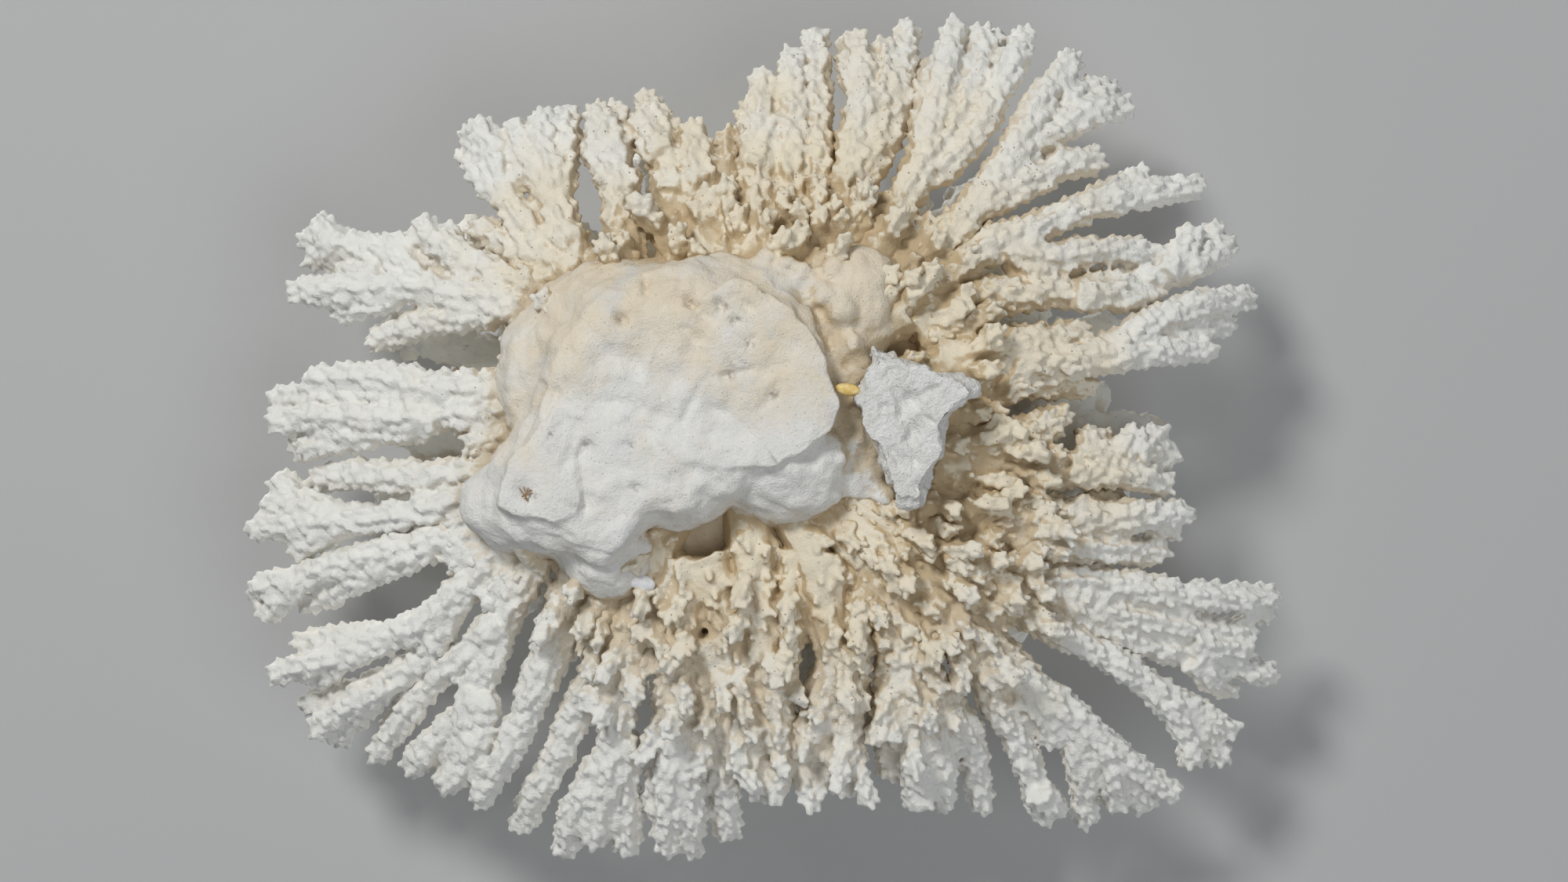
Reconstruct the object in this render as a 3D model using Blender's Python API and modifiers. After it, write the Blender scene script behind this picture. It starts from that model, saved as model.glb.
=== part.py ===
# A dead, bleached colony of branching coral, standing on the flat cut of its base.
#
# Fans of fused branches spread from a worn base lump and end in free fingers. Above them, and
# hidden from below, a crown of upright branchlets closes the colony. Each fan is one solid, split
# from its neighbours where the branches fork off the base.
#
# X runs along the colony's length, Z is up, and the origin lies on the cut of the base.
# Plan positions are in millimetres, as they show from below on the plane of the fingertips.
# An eye below the base sees nearer things larger, so what lies below that plane is drawn in.

import math

import bmesh
import bpy
from mathutils import Matrix, Vector

MM = 0.001
GAP = 0.3
EYE_DISTANCE = 778.0
EYE_AXIS = Vector((6.0, 0.5))
TIP_PLANE = 50.0

# Height of the fans: they leave the base low and rise toward their tips.
FAN_ROOT_HEIGHT = 20.0
FAN_RISE = 29.0
FAN_ROOT_REACH = 35.0
FAN_FULL_REACH = 132.0
FAN_TOP = 51.0
TIP_LIFT = 3.0
# Fingers of one fan lie at different depths, so that neighbours pass behind each other.
DEPTH_STEPS = (0.0, 5.0, 2.5, 7.0)

# Thickness of the branches: radius near the base, on the fingers and at the very tip.
STEM_RADIUS = 7.5
FINGER_RADIUS = 3.5
TIP_RADIUS_SHARE = 0.8
SLIMMING_REACH = 48.0
SLIMMING_POWER = 0.8

# Near the base, webs of branch wood fill the gaps between the fans. They reach furthest out in
# the south and east: a middle length, and what is added for each of these directions.
WEB_RADIUS = 6.5
WEB_LIFT = 2.0
WEB_LENGTH = 11.0
WEB_SOUTHWARD = 5.0
WEB_EASTWARD = 3.0

# The surface that parts the fans from the crown is a wide, shallow cone.
CONE_APEX_HEIGHT = 22.0
CONE_APEX_RADIUS = 2.0
CONE_SLOPE = 0.3
CONE_REACH = 220.0
CONE_SIDES = 24
# Side of the blocks that cut along the upright gaps.
CUTTER_BLOCK = 400.0

# Facets and detail of the solids.
VOXEL = 1.7
FINGER_TRIANGLES = 42
BASE_TRIANGLES = 640
BRANCHLET_TRIANGLES = 28
# The crown's centre has its rings to show as well: as many facets as this many more branchlets.
CROWN_CENTRE_EXTRA = 6

# Crown: branchlets set in a sunflower spiral, in a centre piece and six outer pieces.
CROWN_BRANCHLETS = 90
CROWN_SPREAD = 0.54
CROWN_LENGTH = 104.0
CROWN_WIDTH = 84.0
CROWN_TOP = 91.0
CROWN_DROP = 17.0
CROWN_UNEVENNESS = 3.0
CROWN_UNEVEN_TURN = 2.3
CROWN_CENTRE_REACH = 27.0
CROWN_CENTRE_SHARE = 0.86
GOLDEN_ANGLE = math.radians(137.508)
CROWN_NAMES = ("crown_east", "crown_south", "crown_southwest", "crown_west", "crown_north", "crown_northeast")
CROWN_SECTOR = math.tau / len(CROWN_NAMES)
CROWN_FIRST_GAP = math.radians(-32.0)
# A branchlet runs from its root by way of a foot and a shoulder to its tip. Their plan places are
# shares of the tip's, and root and foot lie this far above the cone.
ROOT_SHARE = 0.3
ROOT_FLOOR = 2.0
FOOT_SHARE = 0.84
FOOT_FLOOR = 8.0
SHOULDER_SHARE = 0.95
BRANCHLET_RADII = (5.6, 5.0, 4.5, 3.6)
# Rings of branch wood tie the branchlets together: share of the crown's reach, and segments.
RINGS = ((0.16, 12), (0.32, 18), (0.56, 24))
RING_FLOOR = 6.0
RING_RADIUS = 5.6

# Outline of the base, inside which no fan reaches.
BASE_OUTLINE = (
    (-50, -42), (-34, -46), (12, -46), (34, -40), (44, -20), (47, 5),
    (44, 26), (20, 34), (-42, 38), (-72, 24), (-66, -8), (-56, -30),
)
BASE_OUTLINE_HEIGHT = 22.0

# The colony stands on three flats of one cut: the base's plateau, its knob and the broken foot.
PLATEAU_OUTLINE = (
    (-25, -30), (-13, -38), (-5, -42), (1, -39), (7, -34), (13, -27), (18, -19), (21, -6),
    (14, 1), (-2, 8), (-14, 8), (-24, 4), (-30, -4), (-31, -16),
)
KNOB_OUTLINE = (
    (-53, -8), (-47, 0), (-44, 8), (-46, 19), (-54, 21), (-66, 19), (-68, 16), (-65, 8), (-60, -1),
)
LEDGE_THICKNESS = 5.0
# Left on both for the cut to take off.
CUT_ALLOWANCE = 3.0

# Rounded masses of the base: centre x, y, z and half sizes. They keep clear of the cut.
BASE_MASSES = (
    (1, -12, 15, 22, 19, 13),
    (-56, 11, 15, 12, 13, 13),
    (-26, -14, 23, 41, 31, 20),
    (-38, -30, 22, 20, 15, 17),
    (-6, -34, 22, 26, 13, 18),
    (-40, 27, 21, 13, 13, 14),
    (-60, 17, 21, 14, 12, 14),
    (6, 4, 19, 20, 17, 16),
    (24, -34, 24, 18, 13, 13),
    (-8, -4, 28, 72, 52, 13),
)
# Under the fans' roots, ridges of branch wood run in toward the middle of the base.
RIDGE_CENTRE = (-8, -4)
RIDGE_INNER_SHARE = 0.4
RIDGE_OUTER_SHARE = 1.2
RIDGE_RADIUS = 7.0

# Outline of the broken foot, a stub with a ragged star of a face.
FOOT_OUTLINE = (
    (29, -24), (37, -19), (42, -19), (54, -13), (46, -3), (41, 17), (32, 8), (24, -10),
)
FOOT_MIDDLE = Vector((38.0, -6.0))
FOOT_HEIGHT = 14.0
FOOT_BEVEL = 1.2
FANS_AT_FOOT = ("fan_east_flat", "fan_east_blunt", "fan_east_top")

# Each fan: its name, the gap that parts it from the next fan going round, and its fingers.
# A gap is a straight line from its inner to its outer end. A finger is a path from the base or
# from a fork to its tip.
FANS = (
    ("fan_west_top", ((-56, -40), (-90, -62)), (
        ((-46, -30), (-66, -35), (-82, -38), (-94, -39), (-108, -38), (-121, -37)),
        ((-84, -38), (-94, -46), (-106, -50), (-117, -51)),
        ((-107, -50), (-114, -56)),
        ((-108, -50), (-115, -45)),
        ((-88, -41), (-94, -53)),
        ((-98, -40), (-110, -45)),
        ((-92, -37), (-109, -32)),
        ((-66, -34), (-76, -32), (-86, -30), (-100, -24)),
        ((-56, -36), (-62, -40), (-74, -45), (-82, -50), (-88, -56)),
        ((-72, -44), (-89, -47)),
        ((-78, -48), (-81, -54)),
    )),
    ("fan_northwest", ((-44, -43), (-45, -92)), (
        ((-45, -34), (-54, -46), (-60, -54), (-65, -62), (-69, -72), (-72, -81)),
        ((-68, -70), (-75, -78)),
        ((-68, -71), (-67, -79)),
        ((-64, -61), (-72, -69), (-75, -74)),
        ((-45, -36), (-50, -52), (-53, -64), (-55, -74), (-56, -84)),
        ((-52, -61), (-50, -74), (-49, -85)),
        ((-53, -62), (-60, -72), (-63, -82)),
        ((-55, -46), (-66, -51), (-74, -54)),
    )),
    ("fan_north_left", ((-6, -45), (-5, -94)), (
        ((-34, -38), (-35, -54), (-36, -68), (-40, -78), (-41, -86)),
        ((-37, -72), (-37, -86)),
        ((-36, -64), (-41, -73), (-43, -78)),
        ((-20, -38), (-22, -56), (-24, -70), (-27, -80), (-29, -89)),
        ((-25, -72), (-32, -83)),
        ((-23, -62), (-22, -81)),
        ((-14, -38), (-15, -58), (-16, -70), (-17, -81)),
        ((-10, -40), (-9, -64), (-8, -79)),
    )),
    ("fan_north", ((14, -46), (19, -104)), (
        ((-1, -40), (-1, -62), (0, -78), (1, -94)),
        ((-1, -72), (-3, -86)),
        ((6, -40), (7, -60), (8, -76), (8, -88), (9, -100)),
        ((12, -40), (14, -62), (14, -80), (14, -92), (14, -105)),
    )),
    ("fan_north_right", ((23, -47), (46, -104)), (
        ((18, -40), (22, -62), (25, -78), (26, -92), (24, -104)),
        ((25, -88), (22, -101)),
        ((26, -70), (31, -88), (32, -102)),
        ((24, -64), (33, -80), (36, -94), (38, -106)),
    )),
    ("fan_northeast_tall", ((38, -47), (75, -104)), (
        ((25, -38), (32, -54), (40, -68), (44, -82), (47, -94), (50, -107)),
        ((42, -76), (42, -88), (44, -96)),
        ((40, -66), (50, -82), (55, -94), (57, -105)),
        ((54, -92), (61, -104)),
        ((44, -68), (53, -76), (59, -86), (64, -96), (68, -105)),
    )),
    ("fan_northeast_wide", ((40, -43), (110, -79)), (
        ((33, -39), (48, -52), (62, -69), (70, -84), (81, -99)),
        ((58, -65), (72, -78), (80, -87), (87, -91)),
        ((70, -76), (84, -83), (95, -85)),
        ((82, -83), (90, -90)),
        ((54, -58), (62, -62), (76, -69), (88, -72)),
    )),
    ("fan_east_top", ((46, -27), (130, -43)), (
        ((36, -34), (52, -46), (70, -54), (86, -60), (113, -65)),
        ((84, -60), (99, -68)),
        ((62, -50), (70, -46), (86, -48), (102, -47)),
        ((38, -30), (56, -36), (78, -38), (96, -40), (110, -45), (117, -55)),
        ((104, -42), (111, -54)),
        ((109, -44), (121, -50)),
        ((80, -37), (103, -36)),
    )),
    ("fan_east_flat", ((46, -8), (110, -11)), (
        ((42, -16), (62, -20), (82, -20), (98, -22), (116, -23)),
        ((82, -21), (102, -27), (121, -30)),
        ((90, -24), (110, -34), (126, -36)),
        ((62, -18), (70, -15), (86, -14)),
        ((44, -20), (64, -24), (84, -27)),
    )),
    ("fan_east_blunt", ((46, 13), (114, 15)), (
        ((44, 2), (64, 0), (79, -7)),
        ((44, 6), (56, 7), (70, 8), (86, 6), (96, 5), (107, 3)),
        ((83, 6), (84, -3)),
        ((85, 6), (89, -1)),
        ((92, 5), (96, -3)),
        ((95, 5), (103, -2)),
        ((78, 8), (94, 9), (105, 12)),
    )),
    ("fan_east_short", ((46, 25), (116, 35)), (
        ((43, 18), (66, 19), (86, 20), (98, 19), (110, 19)),
        ((96, 19), (107, 24)),
        ((56, 20), (72, 26), (88, 28), (104, 29)),
        ((80, 19), (93, 15)),
    )),
    ("fan_east_long", ((44, 28), (128, 72)), (
        ((42, 24), (66, 34), (90, 37), (112, 40), (132, 40)),
        ((122, 40), (130, 45)),
        ((70, 36), (90, 44), (110, 48), (126, 49)),
        ((76, 40), (92, 50), (112, 55), (132, 61)),
        ((110, 52), (126, 54)),
        ((110, 56), (120, 65)),
    )),
    ("fan_southeast_outer", ((40, 31), (112, 91)), (
        ((41, 27), (56, 36), (72, 46), (94, 59), (106, 70), (111, 84)),
        ((102, 66), (113, 74), (118, 83)),
        ((98, 62), (122, 75)),
    )),
    ("fan_southeast", ((32, 34), (70, 98)), (
        ((36, 30), (60, 54), (78, 69), (90, 80), (106, 91)),
        ((84, 74), (94, 84), (99, 95)),
        ((82, 72), (89, 84), (91, 95)),
        ((78, 70), (82, 84), (83, 99)),
        ((54, 48), (66, 62), (76, 78)),
        ((50, 46), (54, 56), (61, 68), (68, 82), (73, 98)),
        ((71, 90), (76, 96)),
    )),
    ("fan_south_right", ((24, 34), (31, 96)), (
        ((28, 30), (34, 52), (38, 72), (40, 94)),
        ((34, 56), (34, 74), (33, 87)),
        ((30, 30), (40, 56), (45, 74), (47, 95)),
        ((42, 60), (52, 74), (57, 95)),
        ((39, 78), (42, 95)),
    )),
    ("fan_south_short", ((8, 34), (8, 100)), (
        ((15, 29), (18, 48), (22, 64), (22, 78), (22, 91)),
        ((20, 56), (28, 70)),
        ((19, 58), (12, 76), (10, 88)),
        ((15, 70), (15, 86)),
    )),
    ("fan_south", ((-25, 34), (-31, 106)), (
        ((-2, 29), (0, 48), (3, 64), (6, 84)),
        ((-14, 30), (-8, 48), (-5, 68), (-2, 88)),
        ((-5, 68), (1, 93)),
        ((-14, 50), (-11, 74), (-8, 102)),
        ((-20, 30), (-21, 54), (-23, 76), (-24, 92), (-24, 106)),
        ((-22, 74), (-18, 94), (-18, 107)),
        ((-23, 78), (-28, 96)),
        ((-18, 66), (-15, 91)),
    )),
    ("fan_south_left", ((-38, 37), (-68, 97)), (
        ((-30, 32), (-33, 52), (-36, 68), (-39, 86), (-43, 104)),
        ((-38, 80), (-47, 94), (-50, 107)),
        ((-35, 76), (-34, 106)),
        ((-34, 50), (-46, 68), (-52, 82), (-57, 90), (-61, 100)),
    )),
    ("fan_southwest_inner", ((-62, 34), (-110, 86)), (
        ((-46, 32), (-54, 56), (-60, 70), (-66, 82), (-73, 93)),
        ((-56, 28), (-64, 42), (-70, 58), (-76, 70), (-84, 78), (-90, 85)),
        ((-73, 64), (-76, 78), (-80, 87)),
        ((-66, 46), (-74, 54), (-84, 62), (-92, 72), (-99, 82)),
        ((-70, 64), (-73, 80), (-82, 90)),
    )),
    ("fan_southwest", ((-70, 27), (-124, 51)), (
        ((-64, 26), (-82, 44), (-98, 52), (-108, 56), (-126, 60)),
        ((-94, 50), (-119, 52)),
        ((-106, 56), (-115, 63)),
        ((-80, 44), (-86, 56), (-100, 64), (-117, 68)),
        ((-99, 64), (-115, 75)),
        ((-95, 62), (-109, 77)),
    )),
    ("fan_west_low", ((-70, 19), (-134, 35)), (
        ((-67, 22), (-94, 28), (-110, 33), (-131, 39)),
        ((-84, 27), (-104, 36), (-117, 43)),
        ((-118, 36), (-127, 46)),
    )),
    ("fan_west_spiky", ((-66, 0), (-130, 8)), (
        ((-66, 13), (-90, 19), (-108, 21), (-131, 23)),
        ((-105, 20), (-116, 16), (-124, 9)),
        ((-114, 18), (-127, 16)),
        ((-66, 8), (-86, 10), (-102, 9), (-115, 11)),
        ((-106, 22), (-120, 29)),
    )),
    ("fan_west", ((-58, -24), (-130, -19)), (
        ((-60, -12), (-82, -13), (-98, -16), (-117, -15)),
        ((-78, -12), (-104, -11), (-125, -10)),
        ((-60, -8), (-86, -6), (-108, -6), (-126, -4)),
        ((-82, -5), (-90, -3), (-108, 0), (-120, 3)),
    )),
)


def placed(x, y, height):
    """The real plan position of what shows at x, y from below and lies at this height."""
    share = (EYE_DISTANCE - (TIP_PLANE - height)) / EYE_DISTANCE
    return Vector((EYE_AXIS.x + (x - EYE_AXIS.x) * share, EYE_AXIS.y + (y - EYE_AXIS.y) * share, height))


def fan_height(x, y):
    """Height of a fan's middle at a plan position."""
    reach = max(0.0, math.hypot(x, y) - FAN_ROOT_REACH) / (FAN_FULL_REACH - FAN_ROOT_REACH)
    return min(FAN_TOP, FAN_ROOT_HEIGHT + FAN_RISE * reach ** 1.5)


def branch_radius(x, y):
    """Branches thin out from the base to the free fingers."""
    reach = min(1.0, max(0.0, math.hypot(x, y) - FAN_ROOT_REACH) / SLIMMING_REACH)
    return STEM_RADIUS + (FINGER_RADIUS - STEM_RADIUS) * reach ** SLIMMING_POWER


def cone_height(reach):
    return CONE_APEX_HEIGHT + CONE_SLOPE * reach


def finger_path(plan, rank):
    """Points and radii of one finger, from its root to its lifted tip."""
    path = []
    last = len(plan) - 1
    for order, (x, y) in enumerate(plan):
        height = fan_height(x, y) + DEPTH_STEPS[rank % len(DEPTH_STEPS)] * order / last
        radius = branch_radius(x, y)
        if order == last:
            height += TIP_LIFT
            radius = FINGER_RADIUS * TIP_RADIUS_SHARE
        path.append((placed(x, y, height), radius))
    return path


def web_path(gap):
    """The web that fills the root of a gap, on both sides of it."""
    inner, outer = Vector(gap[0]), Vector(gap[1])
    away = inner.normalized()
    length = WEB_LENGTH + WEB_SOUTHWARD * away.y + WEB_EASTWARD * away.x
    along = (outer - inner).normalized()
    path = []
    for reach in (-WEB_RADIUS, length / 2, length):
        x, y = inner + along * reach
        path.append((placed(x, y, fan_height(x, y) + WEB_LIFT), WEB_RADIUS))
    return path


def collection(name):
    group = bpy.data.collections.new(name)
    bpy.context.scene.collection.children.link(group)
    return group


def plain_material(name, colour, roughness):
    material = bpy.data.materials.new(name)
    material.use_nodes = True
    shader = material.node_tree.nodes["Principled BSDF"]
    shader.inputs["Base Color"].default_value = (*colour, 1.0)
    shader.inputs["Roughness"].default_value = roughness
    shader.inputs["Metallic"].default_value = 0.0
    return material


def object_from(name, mesh, group):
    thing = bpy.data.objects.new(name, mesh)
    group.objects.link(thing)
    return thing


def settle_modifiers(thing):
    """Replace an object's mesh by what its modifiers make of it."""
    depsgraph = bpy.context.evaluated_depsgraph_get()
    mesh = bpy.data.meshes.new_from_object(thing.evaluated_get(depsgraph))
    thing.modifiers.clear()
    thing.data = mesh


def tubes(name, paths, group):
    """Tapered round branches along the paths, as one mesh of overlapping tubes."""
    curve = bpy.data.curves.new(name, "CURVE")
    curve.dimensions = "3D"
    curve.bevel_depth = MM
    curve.bevel_resolution = 2
    curve.resolution_u = 4
    curve.use_fill_caps = True
    for path in paths:
        spline = curve.splines.new("NURBS")
        spline.points.add(len(path) - 1)
        for point, (place, radius) in zip(spline.points, path):
            point.co = (*(place * MM), 1.0)
            point.radius = radius
        spline.order_u = min(3, len(path))
        spline.use_endpoint_u = True
    thing = object_from(name, curve, group)
    bpy.context.view_layer.update()
    mesh = bpy.data.meshes.new_from_object(thing.evaluated_get(bpy.context.evaluated_depsgraph_get()))
    bpy.data.objects.remove(thing)
    weld(mesh)
    return object_from(name, mesh, group)


def weld(mesh):
    body = bmesh.new()
    body.from_mesh(mesh)
    bmesh.ops.remove_doubles(body, verts=body.verts, dist=0.01 * MM)
    body.to_mesh(mesh)
    body.free()


def ellipsoids(name, masses, group):
    """Rounded masses as one mesh of overlapping ellipsoids."""
    body = bmesh.new()
    for x, y, height, half_x, half_y, half_z in masses:
        centre = placed(x, y, height) * MM
        size = Matrix.Diagonal((half_x * MM, half_y * MM, half_z * MM, 1.0))
        bmesh.ops.create_icosphere(body, subdivisions=3, radius=1.0, matrix=Matrix.Translation(centre) @ size)
    mesh = bpy.data.meshes.new(name)
    body.to_mesh(mesh)
    body.free()
    return object_from(name, mesh, group)


def fuse(thing, triangles):
    """Join the overlapping shells into one skin and keep only the given number of facets."""
    remesh = thing.modifiers.new("fuse", "REMESH")
    remesh.mode = "VOXEL"
    remesh.voxel_size = VOXEL * MM
    settle_modifiers(thing)
    split = thing.modifiers.new("facets", "TRIANGULATE")
    split.min_vertices = 4
    settle_modifiers(thing)
    fewer = thing.modifiers.new("fewer", "DECIMATE")
    fewer.ratio = min(1.0, triangles / len(thing.data.polygons))
    settle_modifiers(thing)


def keep_largest_body(thing):
    """Drop the crumbs that a cut leaves beside the main body."""
    body = bmesh.new()
    body.from_mesh(thing.data)
    bmesh.ops.remove_doubles(body, verts=body.verts, dist=0.02 * MM)
    bmesh.ops.dissolve_degenerate(body, edges=body.edges, dist=0.02 * MM)
    bodies = []
    unseen = set(body.verts)
    while unseen:
        patch = {unseen.pop()}
        front = list(patch)
        while front:
            vertex = front.pop()
            for edge in vertex.link_edges:
                other = edge.other_vert(vertex)
                if other not in patch:
                    patch.add(other)
                    front.append(other)
        unseen -= patch
        bodies.append(patch)
    largest = max(bodies, key=len)
    spare = [vertex for vertex in body.verts if vertex not in largest]
    bmesh.ops.delete(body, geom=spare, context="VERTS")
    bmesh.ops.triangulate(body, faces=body.faces)
    body.to_mesh(thing.data)
    body.free()


def cutter_from(name, body, group):
    mesh = bpy.data.meshes.new(name)
    body.to_mesh(mesh)
    body.free()
    cutter = object_from(name, mesh, group)
    cutter.display_type = "WIRE"
    cutter.hide_render = True
    return cutter


def half_space(name, inner, outer, side, group):
    """A large block on one side (+1 or -1) of the upright plane through a gap's two ends."""
    along = Vector((outer.x - inner.x, outer.y - inner.y, 0.0)).normalized()
    across = Vector((-along.y, along.x, 0.0)) * side
    centre = inner + across * (CUTTER_BLOCK / 2 - GAP / 2)
    turn = Matrix((along, across, along.cross(across))).transposed().to_4x4()
    body = bmesh.new()
    place = Matrix.Translation(centre * MM) @ turn
    bmesh.ops.create_cube(body, size=CUTTER_BLOCK * MM, matrix=place)
    bmesh.ops.recalc_face_normals(body, faces=body.faces)
    return cutter_from(name, body, group)


def prism(name, outline, bottom, top, margin, group):
    """An upright prism on a convex outline, made wider by a margin."""
    middle = sum(outline, Vector((0.0, 0.0, 0.0))) / len(outline)
    body = bmesh.new()
    for corner in outline:
        away = Vector((corner.x - middle.x, corner.y - middle.y, 0.0))
        wide = corner + away.normalized() * margin
        for height in (bottom, top):
            body.verts.new(Vector((wide.x, wide.y, height)) * MM)
    bmesh.ops.convex_hull(body, input=body.verts)
    loose = [vertex for vertex in body.verts if not vertex.link_faces]
    bmesh.ops.delete(body, geom=loose, context="VERTS")
    bmesh.ops.recalc_face_normals(body, faces=body.faces)
    return cutter_from(name, body, group)


def cone(name, lift, group):
    """The space above the surface that parts the fans from the crown."""
    depth = CONE_SLOPE * CONE_REACH
    body = bmesh.new()
    middle = Matrix.Translation(Vector((0.0, 0.0, CONE_APEX_HEIGHT + lift + depth / 2)) * MM)
    bmesh.ops.create_cone(
        body,
        cap_ends=True,
        segments=CONE_SIDES,
        radius1=CONE_APEX_RADIUS * MM,
        radius2=CONE_REACH * MM,
        depth=depth * MM,
        matrix=middle,
    )
    return cutter_from(name, body, group)


def cut(thing, cutter, operation):
    """Take a cutter away from a solid, or keep only what lies in it."""
    boolean = thing.modifiers.new("cut", "BOOLEAN")
    boolean.operation = operation
    boolean.solver = "EXACT"
    boolean.object = cutter
    settle_modifiers(thing)


def ledge(name, outline, group):
    """A flat-faced ledge of the base, reaching a little below the cut."""
    body = bmesh.new()
    low = [body.verts.new(placed(x, y, 0.0) * MM) for x, y in outline]
    face = body.faces.new(low)
    raised = bmesh.ops.extrude_face_region(body, geom=[face])["geom"]
    for vertex in low:
        vertex.co.z = -CUT_ALLOWANCE * MM
    for vertex in [corner for corner in raised if isinstance(corner, bmesh.types.BMVert)]:
        vertex.co.z = LEDGE_THICKNESS * MM
    bmesh.ops.recalc_face_normals(body, faces=body.faces)
    mesh = bpy.data.meshes.new(name)
    body.to_mesh(mesh)
    body.free()
    return object_from(name, mesh, group)


def foot_outline(margin):
    """The foot's outline on the cut, made wider by a margin."""
    outline = []
    for x, y in FOOT_OUTLINE:
        away = Vector((x, y)) - FOOT_MIDDLE
        wide = FOOT_MIDDLE + away + away.normalized() * margin
        outline.append(placed(wide.x, wide.y, 0.0))
    return outline


def foot_solid(name, margin, bottom, top, group):
    """The stub of the foot: its star outline, filled and given a height."""
    curve = bpy.data.curves.new(name, "CURVE")
    curve.dimensions = "2D"
    curve.fill_mode = "BOTH"
    curve.extrude = (top - bottom) / 2 * MM
    spline = curve.splines.new("POLY")
    outline = foot_outline(margin)
    spline.points.add(len(outline) - 1)
    for point, corner in zip(spline.points, outline):
        point.co = (corner.x * MM, corner.y * MM, 0.0, 1.0)
    spline.use_cyclic_u = True
    flat = object_from(name, curve, group)
    bpy.context.view_layer.update()
    mesh = bpy.data.meshes.new_from_object(flat.evaluated_get(bpy.context.evaluated_depsgraph_get()))
    bpy.data.objects.remove(flat)
    mesh.transform(Matrix.Translation((0.0, 0.0, (top + bottom) / 2 * MM)))
    weld(mesh)
    solid = object_from(name, mesh, group)
    body = bmesh.new()
    body.from_mesh(mesh)
    bmesh.ops.recalc_face_normals(body, faces=body.faces)
    body.to_mesh(mesh)
    body.free()
    return solid


def build_foot(group, material):
    foot = foot_solid("broken_foot", 0.0, 0.0, FOOT_HEIGHT - GAP, group)
    bevel = foot.modifiers.new("worn", "BEVEL")
    bevel.width = FOOT_BEVEL * MM
    bevel.segments = 1
    bevel.limit_method = "ANGLE"
    settle_modifiers(foot)
    keep_largest_body(foot)
    foot.data.materials.append(material)


def ridge_path(root):
    """A ridge of the base, from its inner end out to the root of a fan."""
    middle = Vector(RIDGE_CENTRE)
    outer = Vector(root)
    inner = middle.lerp(outer, RIDGE_INNER_SHARE)
    beyond = middle.lerp(outer, RIDGE_OUTER_SHARE)
    return [(placed(*point, fan_height(*point)), RIDGE_RADIUS) for point in (inner, outer, beyond)]


def join(thing, other):
    """Put another object's shells into this one, and remove that object."""
    body = bmesh.new()
    body.from_mesh(thing.data)
    body.from_mesh(other.data)
    body.to_mesh(thing.data)
    body.free()
    bpy.data.objects.remove(other)


def build_base(group, cutters, material):
    base = ellipsoids("base_lump", BASE_MASSES, group)
    join(base, ledge("plateau", PLATEAU_OUTLINE, group))
    join(base, ledge("knob", KNOB_OUTLINE, group))
    roots = [fingers[0][0] for name, gap, fingers in FANS]
    join(base, tubes("ridges", [ridge_path(root) for root in roots], group))
    fuse(base, BASE_TRIANGLES)
    outline = [placed(x, y, BASE_OUTLINE_HEIGHT) for x, y in BASE_OUTLINE]
    cut(base, prism("base_bounds", outline, 0.0, 100.0, -GAP / 2, cutters), "INTERSECT")
    cut(base, cone("base_roof", -GAP / 2, cutters), "DIFFERENCE")
    cut(base, cutters.objects["foot_room"], "DIFFERENCE")
    keep_largest_body(base)
    base.data.materials.append(material)


def build_fans(group, cutters, material):
    outline = [placed(x, y, BASE_OUTLINE_HEIGHT) for x, y in BASE_OUTLINE]
    base_room = prism("base_room", outline, -20.0, 120.0, GAP / 2, cutters)
    roof = cone("fan_roof", -GAP / 2, cutters)
    for order, (name, gap_after, fingers) in enumerate(FANS):
        gap_before = FANS[order - 1][1]
        paths = [finger_path(plan, rank) for rank, plan in enumerate(fingers)]
        paths += [web_path(gap_before), web_path(gap_after)]
        fan = tubes(name, paths, group)
        fuse(fan, FINGER_TRIANGLES * len(fingers))
        cut(fan, base_room, "DIFFERENCE")
        for (inner, outer), side in ((gap_before, -1), (gap_after, 1)):
            inner_end = placed(*inner, BASE_OUTLINE_HEIGHT)
            outer_end = placed(*outer, TIP_PLANE)
            cut(fan, half_space(name + "_side", inner_end, outer_end, side, cutters), "DIFFERENCE")
        cut(fan, roof, "DIFFERENCE")
        if name in FANS_AT_FOOT:
            cut(fan, cutters.objects["foot_room"], "DIFFERENCE")
        keep_largest_body(fan)
        fan.data.materials.append(material)


def crown_tip(order):
    """Plan position of one branchlet's tip, its share of the crown's reach, and its height."""
    share = ((order + 0.5) / CROWN_BRANCHLETS) ** CROWN_SPREAD
    turn = order * GOLDEN_ANGLE
    x = CROWN_LENGTH * share * math.cos(turn)
    y = CROWN_WIDTH * share * math.sin(turn)
    uneven = CROWN_UNEVENNESS * (1.0 - math.cos(CROWN_UNEVEN_TURN * order)) / 2
    return x, y, CROWN_TOP - CROWN_DROP * share ** 2 - uneven


def branchlet_path(order):
    """One branchlet: a low root toward the middle, a foot, and an upright, leaning finger."""
    x, y, height = crown_tip(order)
    reach = math.hypot(x, y)
    root = Vector((x * ROOT_SHARE, y * ROOT_SHARE, cone_height(reach * ROOT_SHARE) + ROOT_FLOOR))
    foot = Vector((x * FOOT_SHARE, y * FOOT_SHARE, cone_height(reach * FOOT_SHARE) + FOOT_FLOOR))
    shoulder = Vector((x * SHOULDER_SHARE, y * SHOULDER_SHARE, (foot.z + height) / 2))
    tip = Vector((x, y, height))
    return list(zip((root, foot, shoulder, tip), BRANCHLET_RADII))


def crown_ring(share, segments):
    """A ring of branch wood on the crown's floor that ties the branchlets together."""
    path = []
    for step in range(segments + 1):
        turn = math.tau * step / segments
        x = CROWN_LENGTH * share * math.cos(turn)
        y = CROWN_WIDTH * share * math.sin(turn)
        path.append((Vector((x, y, cone_height(math.hypot(x, y)) + RING_FLOOR)), RING_RADIUS))
    return path


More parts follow.
